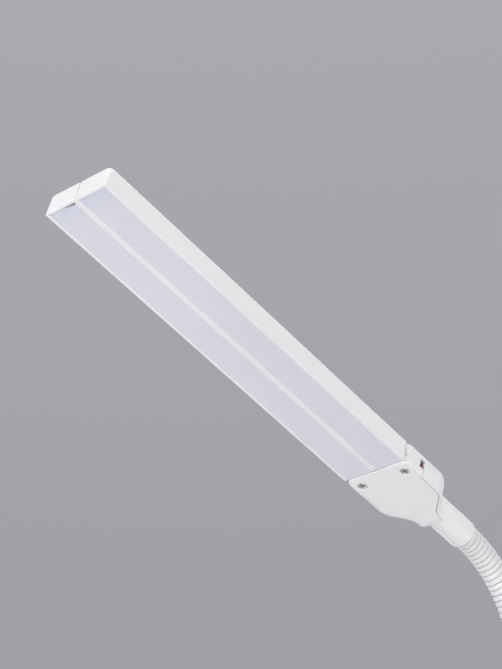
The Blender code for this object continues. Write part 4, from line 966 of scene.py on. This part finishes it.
class ReadingLampSizes(bpy.types.PropertyGroup):
    rim_width: length("Rim width", "Width of the rim round each diffuser", 2.0)
    rim_round: length("Rim rounding", "Rounding of the rim's outer edge", 0.2)
    bar_round: length("Bar rounding", "Rounding of the bars' back edges", 3.0)
    back_round: length("Yoke rounding", "Rounding of the yoke's back edge", 2.0)
    tip_round: length("Tip rounding", "Rounding of the upright corners at the bars' tips", 3.5)
    root_round: length("Root rounding", "Rounding of the upright corners at the bars' roots", 1.0)
    recess: length("Diffuser recess", "Depth of the diffuser below the rim", 0.4)
    tab_length: length("Snap tab length", "Length of the snap tabs along the rim", 16.0)
    tab_height: length("Snap tab width", "How far a snap tab stands over the diffuser", 0.25)
    cover_round: length("Cover rounding", "Rounding of the yoke cover's edge", 0.6)
    recess_radius: length("Screw recess", "Radius of the recesses for the pivot screws", 3.5)
    collar_radius: length("Collar radius", "Radius of the collar that holds the neck", 10.25)
    sleeve_radius: length("Sleeve radius", "Outer radius of the neck's ribbed sleeve", 9.0)
    rib_pitch: length("Rib pitch", "Distance from one rib of the sleeve to the next", 4.4)
    clip_round: length("Clip rounding", "Rounding of the clip's side edges", 2.0)
    jaw_round: length("Jaw rounding", "Rounding of the lower jaw's side edges", 1.2)
    groove_depth: length("Groove depth", "Depth of the groove between the sleeve's ribs", 0.75)


class ReadingLampColours(bpy.types.PropertyGroup):
    plastic: colour("Plastic", "Moulded parts", (0.83, 0.83, 0.84))
    diffuser: colour("Diffuser", "Milky strips in front of the LEDs", (0.70, 0.70, 0.77))
    sleeve: colour("Sleeve", "Ribbed neck", (0.75, 0.74, 0.75))
    rubber: colour("Rubber", "Clip pads", (0.06, 0.06, 0.065))
    button: colour("Buttons", "Push buttons on the clip", (0.50, 0.50, 0.52))
    board: colour("LED board", "Boards behind the diffusers", (0.80, 0.80, 0.78))
    steel: colour("Steel", "Screws, spring and pin", (0.72, 0.72, 0.73))
    wire: colour("Wires", "Jackets of the leads in the yoke", (0.30, 0.07, 0.03))


def sizes():
    """The sizes in millimetres."""
    group = bpy.context.scene.reading_lamp_sizes
    return SimpleNamespace(**{key: getattr(group, key) / MM for key in ReadingLampSizes.__annotations__})


# ---------------------------------------------------------------- operators

class LAMP_OT_finishes(bpy.types.Operator):
    """Make the materials and give them to every node of the frame"""
    bl_idname = "reading_lamp.finishes"
    bl_label = "Finishes"

    def execute(self, context):
        group = context.scene.reading_lamp_colours
        MATERIALS.update(make_materials(SimpleNamespace(
            **{key: tuple(getattr(group, key)) for key in ReadingLampColours.__annotations__})))
        for row in frame["record"]["subparts"]:
            NODES[row["node"]].material_slots[0].material = MATERIALS[row["material_slot"]]
        return {"FINISHED"}


class LAMP_OT_bars(bpy.types.Operator):
    """Make the two light bars with their diffusers and hinge tongues"""
    bl_idname = "reading_lamp.bars"
    bl_label = "Light bars"

    def execute(self, context):
        size = sizes()
        for side_name, side in SIDES:
            bar_shell(size, side_name, side)
            bar_diffuser(size, side_name, side, 1.7 if side < 0 else 0.0)
            hinge_tongue(side_name, side)
        return {"FINISHED"}


class LAMP_OT_yoke(bpy.types.Operator):
    """Make the yoke with its cover, screws, leads and collar"""
    bl_idname = "reading_lamp.yoke"
    bl_label = "Yoke"

    def execute(self, context):
        size = sizes()
        yoke_cover(size)
        yoke_shell(size)
        for side_name, side in SIDES:
            pivot_screw(side_name, side)
            wires(side_name, side)
        return {"FINISHED"}


class LAMP_OT_neck(bpy.types.Operator):
    """Make the ribbed sleeve of the neck"""
    bl_idname = "reading_lamp.neck"
    bl_label = "Neck"

    def execute(self, context):
        make_sleeve(sizes())
        return {"FINISHED"}


class LAMP_OT_clip(bpy.types.Operator):
    """Make the clip: housing, cover, buttons, foot collar, lower jaw, spring and pads"""
    bl_idname = "reading_lamp.clip"
    bl_label = "Clip"

    def execute(self, context):
        size = sizes()
        clip_housing(size)
        clip_cover()
        foot_collar()
        for name, middle, kind in BUTTONS:
            push_button(name, middle, kind)
        jaw_bodies(size)
        torsion_spring()
        grip_pad("upper_grip_pad", "clip", "upper_jaw_pad", 0.0, 3.0)
        grip_pad("lower_grip_pad", "clip_jaw", "lower_jaw_pad", -2.4, -5.4)
        return {"FINISHED"}


class LAMP_OT_stage(bpy.types.Operator):
    """Make the floor, the lights and the camera"""
    bl_idname = "reading_lamp.stage"
    bl_label = "Stage"

    def execute(self, context):
        make_floor()
        make_lights()
        make_camera()
        return {"FINISHED"}


class LAMP_PT_panel(bpy.types.Panel):
    """Sidebar panel with the lamp's sizes, colours and steps"""
    bl_idname = "LAMP_PT_panel"
    bl_label = "Reading lamp"
    bl_space_type = "VIEW_3D"
    bl_region_type = "UI"
    bl_category = "Reading lamp"

    def draw(self, context):
        for operator in OPERATORS:
            self.layout.operator(operator.bl_idname)
        for group, kind in (("reading_lamp_sizes", ReadingLampSizes), ("reading_lamp_colours",
                ReadingLampColours)):
            column = self.layout.column()
            for key in kind.__annotations__:
                column.prop(getattr(context.scene, group), key)


# ---------------------------------------------------------------- stage

FLOOR_LEVEL = -0.52
BACKDROP_LOW = (0.348, 0.348, 0.369)
BACKDROP_HIGH = (0.407, 0.409, 0.429)


def make_floor():
    """A round floor: rings of points on one level."""
    radius = np.array((0.001, 1.0, 3.0, 8.0, 20.0, 60.0))
    t = np.linspace(0, 2 * math.pi, 64, endpoint=False)
    rows = np.stack((radius[:, None] * np.cos(t), radius[:, None] * np.sin(t),
                     np.full((len(radius), len(t)), FLOOR_LEVEL)), axis=-1)
    shape = Shape()
    shape.grid(rows / MM, caps=(True, False))
    material, tree, shader = shader_of("pale_floor", 0.7)
    vary_colour(tree, shader, (0.62, 0.62, 0.62), 0.01, 2.0)
    shape.build("floor", material)


def make_light(name, location, target, size, power, tint=(1.0, 1.0, 1.0)):
    data = bpy.data.lights.new(name, "AREA")
    data.shape = "DISK"
    data.size = size
    data.energy = power
    data.color = tint
    lamp = bpy.data.objects.new(name, data)
    bpy.context.scene.collection.objects.link(lamp)
    lamp.location = location
    lamp.rotation_mode = "QUATERNION"
    lamp.rotation_quaternion = (Vector(target) - Vector(location)).to_track_quat("-Z", "Y")
    lamp.visible_camera = False


def make_lights():
    middle = (0.2, 0.0, 0.4)
    make_light("tip_softbox", (2.4, -0.4, 0.6), middle, 1.6, 31.0)
    make_light("camera_softbox", (0.5, 2.2, 0.55), middle, 1.4, 27.0, (1.0, 0.985, 0.97))
    make_light("low_softbox", (0.9, -0.3, -0.2), middle, 0.8, 2.0, (0.98, 0.985, 1.0))
    make_light("top_softbox", (-0.6, -0.4, 2.4), middle, 2.0, 26.0)
    make_light("back_softbox", (-1.8, -1.2, 0.9), middle, 1.6, 20.0)
    world = bpy.data.worlds.new("studio")
    bpy.context.scene.world = world
    world.use_nodes = True
    background = world.node_tree.nodes["Background"]
    tree = world.node_tree
    split = add_node(tree, "ShaderNodeSeparateXYZ")
    tree.links.new(add_node(tree, "ShaderNodeTexCoord").outputs["Generated"], split.inputs["Vector"])
    ramp = add_node(tree, "ShaderNodeValToRGB")
    low, high = ramp.color_ramp.elements
    low.position, high.position = 0.30, 0.64
    low.color, high.color = (*BACKDROP_LOW, 1), (*BACKDROP_HIGH, 1)
    tree.links.new(split.outputs["Z"], ramp.inputs["Fac"])
    tree.links.new(ramp.outputs["Color"], background.inputs["Color"])
    bpy.context.scene.view_settings.view_transform = "Standard"


def make_camera():
    heading, rise, roll = math.radians(220.638), math.radians(28.189), math.radians(-0.904)
    data = bpy.data.cameras.new("camera")
    data.lens = 107.69
    data.sensor_width = 36.0
    camera = bpy.data.objects.new("camera", data)
    bpy.context.scene.collection.objects.link(camera)
    camera.location = Vector(head_to_row(np.array((774.94, 722.66, -788.90))) * MM)
    ahead = Vector((math.cos(heading) * math.cos(rise), math.sin(heading) * math.cos(rise), math.sin(rise)))
    camera.rotation_mode = "QUATERNION"
    camera.rotation_quaternion = ahead.to_track_quat("-Z", "Y") @ Quaternion((0.0, 0.0, 1.0), roll)
    bpy.context.scene.camera = camera


OPERATORS = (LAMP_OT_finishes, LAMP_OT_bars, LAMP_OT_yoke, LAMP_OT_neck, LAMP_OT_clip, LAMP_OT_stage)
CLASSES = (ReadingLampSizes, ReadingLampColours, *OPERATORS, LAMP_PT_panel)


def register():
    for kind in CLASSES:
        bpy.utils.register_class(kind)
    bpy.types.Scene.reading_lamp_sizes = bpy.props.PointerProperty(type=ReadingLampSizes)
    bpy.types.Scene.reading_lamp_colours = bpy.props.PointerProperty(type=ReadingLampColours)


def unregister():
    del bpy.types.Scene.reading_lamp_colours
    del bpy.types.Scene.reading_lamp_sizes
    for kind in reversed(CLASSES):
        bpy.utils.unregister_class(kind)


def main():
    register()
    for operator in OPERATORS:
        getattr(bpy.ops.reading_lamp, operator.bl_idname.split(".")[1])()


if __name__ == "__main__":
    main()
